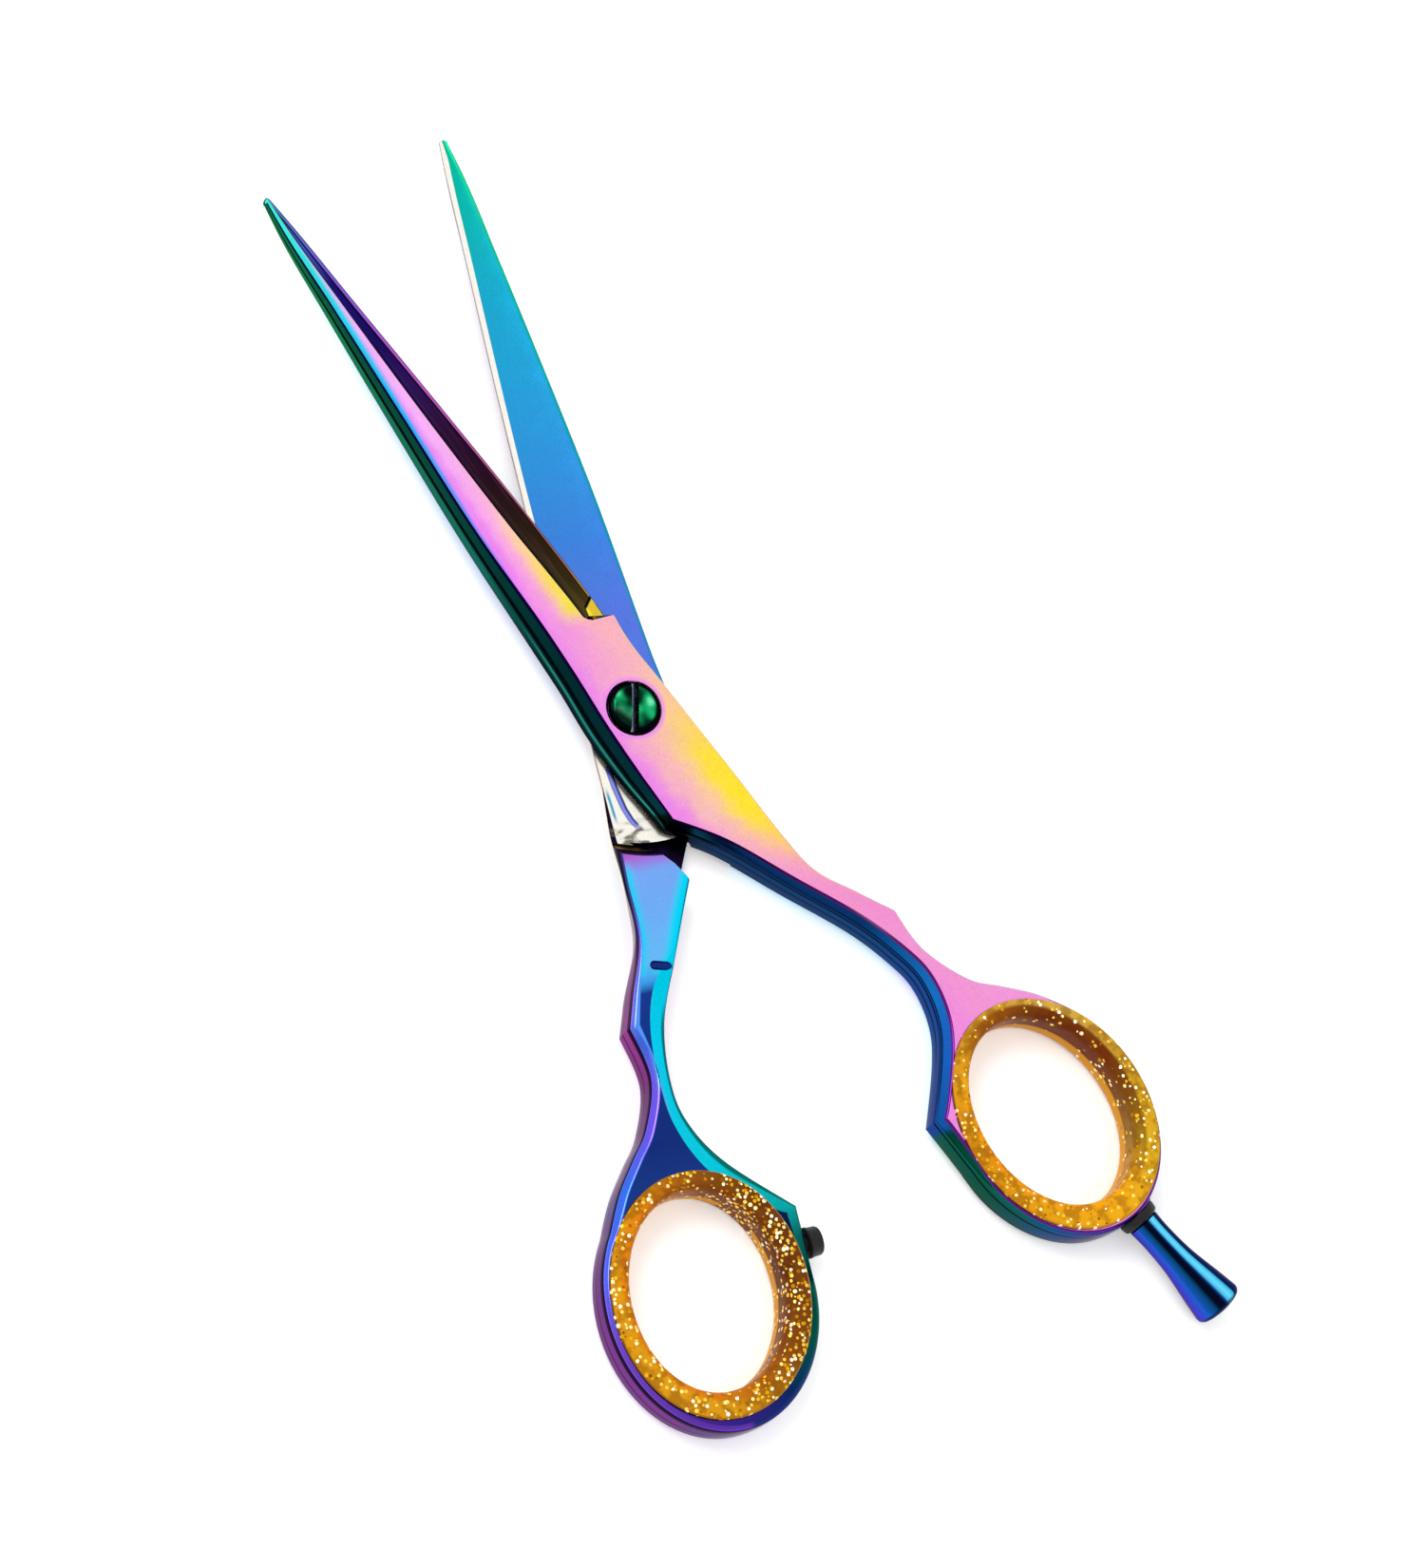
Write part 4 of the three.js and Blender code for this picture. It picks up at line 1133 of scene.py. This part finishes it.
def rubber_material():
    s = Shade("black_rubber")
    s.colour = s.ramp(s.noise(0.25, 3.0), {0.3: 0x080909, 0.7: 0x181919})
    s.bump(s.noise(0.12, 2.0), 0.02, 0.4)
    return s.done(0.0, 0.5, Specular_IOR_Level=0.25)


def screw_material():
    """Emerald coating with dark and bright patches painted on as reflections in the polished head."""
    s = Shade("screw_coating")
    s.colour = s.ramp(s.noise(3.4, 1.0), {0.38: 0x040e0c, 0.45: 0x063c26, 0.5: 0x0e824e, 0.56: 0x1eb973,
                                          0.62: 0x78f0b4})
    shade_side = s.fade(s.plus(s.x, s.times(s.y, 0.6)), -2.6, 0.2)
    s.lay(shade_side, 0x06281c)
    # A near-black ring round the edge of the head is painted shade.
    s.lay(s.ease(s.distance((0, 0)), 2.5, 2.9), 0x03080a)
    return coating(s, 0.12, 0.3, 0.06, 0.02)


def slot_material():
    s = Shade("screw_slot")
    across = s.plus(s.times(s.x, math.cos(SLOT_TURN)), s.times(s.y, math.sin(SLOT_TURN)))
    # Across the slot: pale on one wall, a painted highlight, and near-black on the other, painted shade.
    s.colour = s.ramp(across, {-0.45: 0xaaa096, -0.2: 0x787896, 0.0: 0x141024, 0.45: 0x06060c})
    patch = s.ease(s.noise(0.9, 2.0), 0.45, 0.6)
    s.lay(patch, 0x283c3c, 0.5)
    return coating(s, 0.25, 0.3, 0.06)


def rest_material():
    s = Shade("rest_coating")
    s.colour = s.ramp(s.angle((0, 0)), REST_COLOURS)
    s.lay(s.ease(s.z, 15.35, 15.75), 0x081642, 0.85)
    return coating(s, 0.15, 0.3, 0.06)


def spring_steel():
    s = Shade("spring_steel")
    s.colour = s.ramp(s.noise(0.5, 3.0, (6, 1, 1)), {0.3: 0x96989b, 0.7: 0xcdced0})
    s.bump(s.noise(0.2, 2.0, (6, 1, 1)), 0.02, 0.3)
    return s.done(1.0, 0.3)


def nylon():
    s = Shade("white_nylon")
    s.colour = s.ramp(s.noise(1.0, 3.0), {0.3: 0xd6d4c8, 0.7: 0xeceae0})
    s.bump(s.noise(0.3, 2.0), 0.02, 0.3)
    return s.done(0.0, 0.45, Subsurface_Weight=0.1, Subsurface_Radius=(0.001, 0.001, 0.001))


# ---- the pieces --------------------------------------------------------------------------------
def place(obj, matrix, body, slot, *nodes):
    obj.matrix_world = matrix
    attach(obj, body)
    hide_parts(*nodes)


def finger_half():
    materials = half_materials(finger_facet, finger_wall)
    obj = forged_half("finger_half_steel", FINGER, materials)
    pad, spot, stud_hole = rest_seat(materials)
    cut(pad, insert_hole(FINGER, materials))
    cut(obj, pad, "UNION")
    for tool in (*recess_tools(materials), washer_pocket(materials), spot, stud_hole):
        cut(obj, tool)
    finish_surface(obj)
    place(obj, FINGER_FRAME, "finger_half", "rainbow_steel_finger", "finger_blade")


def thumb_half():
    materials = half_materials(thumb_facet, thumb_wall)
    obj = forged_half("thumb_half_steel", THUMB, materials)
    for tool in (screw_hole(materials), washer_pocket(materials), stem_hole(materials),
                 groove_tool(materials)):
        cut(obj, tool)
    finish_surface(obj)
    place(obj, THUMB_FRAME, "thumb_half", "rainbow_steel_thumb", "thumb_blade")


def small_pieces():
    finger_insert = insert("finger_insert_amber", FINGER, [finger_amber()])
    place(finger_insert, FINGER_FRAME, "finger_half", "amber_insert", "finger_ring_insert")
    thumb_insert = insert("thumb_insert_amber", THUMB, [thumb_amber()])
    place(thumb_insert, THUMB_FRAME, "thumb_half", "amber_insert", "thumb_ring_insert")
    screw = pivot_screw([screw_material(), slot_material()])
    place(screw, Matrix.Identity(4), "tension_screw", "screw_steel", "pivot_screw")
    rubber = rubber_material()
    place(finger_rest([rest_material()]), rest_frame(), "rest", "rest_steel", "finger_rest")
    place(rest_washer([rubber]), rest_frame(), "rest_washer", "black_rubber", "finger_rest_washer")
    place(bumper([rubber]), bumper_frame(), "thumb_half", "black_rubber", "bumper")


def carried_over():
    """The pieces inside the pivot keep their CAD shape."""
    for node, material in (("spring_washer", spring_steel()), ("pivot_bush", nylon()),
                           ("glide_washer", nylon())):
        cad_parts[node].data.materials.clear()
        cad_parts[node].data.materials.append(material)


# ---- floor, light and camera -------------------------------------------------------------------
def camera():
    data = bpy.data.cameras.new("camera")
    data.lens = LENS
    obj = add_object("camera", data)
    right = Vector((0.84116, -0.44313, 0.30998))
    up = Vector((0.35121, 0.88350, 0.30998))
    back = Vector((-0.41123, -0.15187, 0.89879))
    target = Vector((6.28, -12.158, 3.3)) * MM
    matrix = Matrix((right, up, back)).transposed().to_4x4()
    matrix.translation = target + back * CAMERA_DISTANCE
    obj.matrix_world = matrix
    bpy.context.scene.camera = obj


def floor():
    r = FLOOR_REACH
    mesh = bpy.data.meshes.new("floor")
    mesh.from_pydata([(-r, -r, 0), (r, -r, 0), (r, r, 0), (-r, r, 0)], [], [(0, 1, 2, 3)])
    obj = add_object("floor", mesh)
    material = bpy.data.materials.new("floor")
    material.use_nodes = True
    shader = material.node_tree.nodes["Principled BSDF"]
    shader.inputs["Base Color"].default_value = (0.94, 0.94, 0.94, 1)
    shader.inputs["Roughness"].default_value = 0.9
    shader.inputs["Emission Color"].default_value = (1, 1, 1, 1)
    shader.inputs["Emission Strength"].default_value = 0.25
    mesh.materials.append(material)


def area_light(name, place_at, aim, size, energy):
    data = bpy.data.lights.new(name, "AREA")
    data.size = size
    data.energy = energy
    obj = add_object(name, data)
    obj.location = place_at
    obj.rotation_euler = (Vector(aim) - Vector(place_at)).to_track_quat("-Z", "Y").to_euler()


def studio():
    world = bpy.data.worlds.new("studio")
    world.use_nodes = True
    background = world.node_tree.nodes["Background"]
    background.inputs["Color"].default_value = (1, 1, 1, 1)
    background.inputs["Strength"].default_value = 1.0
    bpy.context.scene.world = world
    area_light("key", (-0.3, 0.5, 0.8), (0, 0, 0), 0.5, 4)
    bpy.context.scene.view_settings.view_transform = "Standard"


finger_half()
thumb_half()
small_pieces()
carried_over()
floor()
studio()
camera()
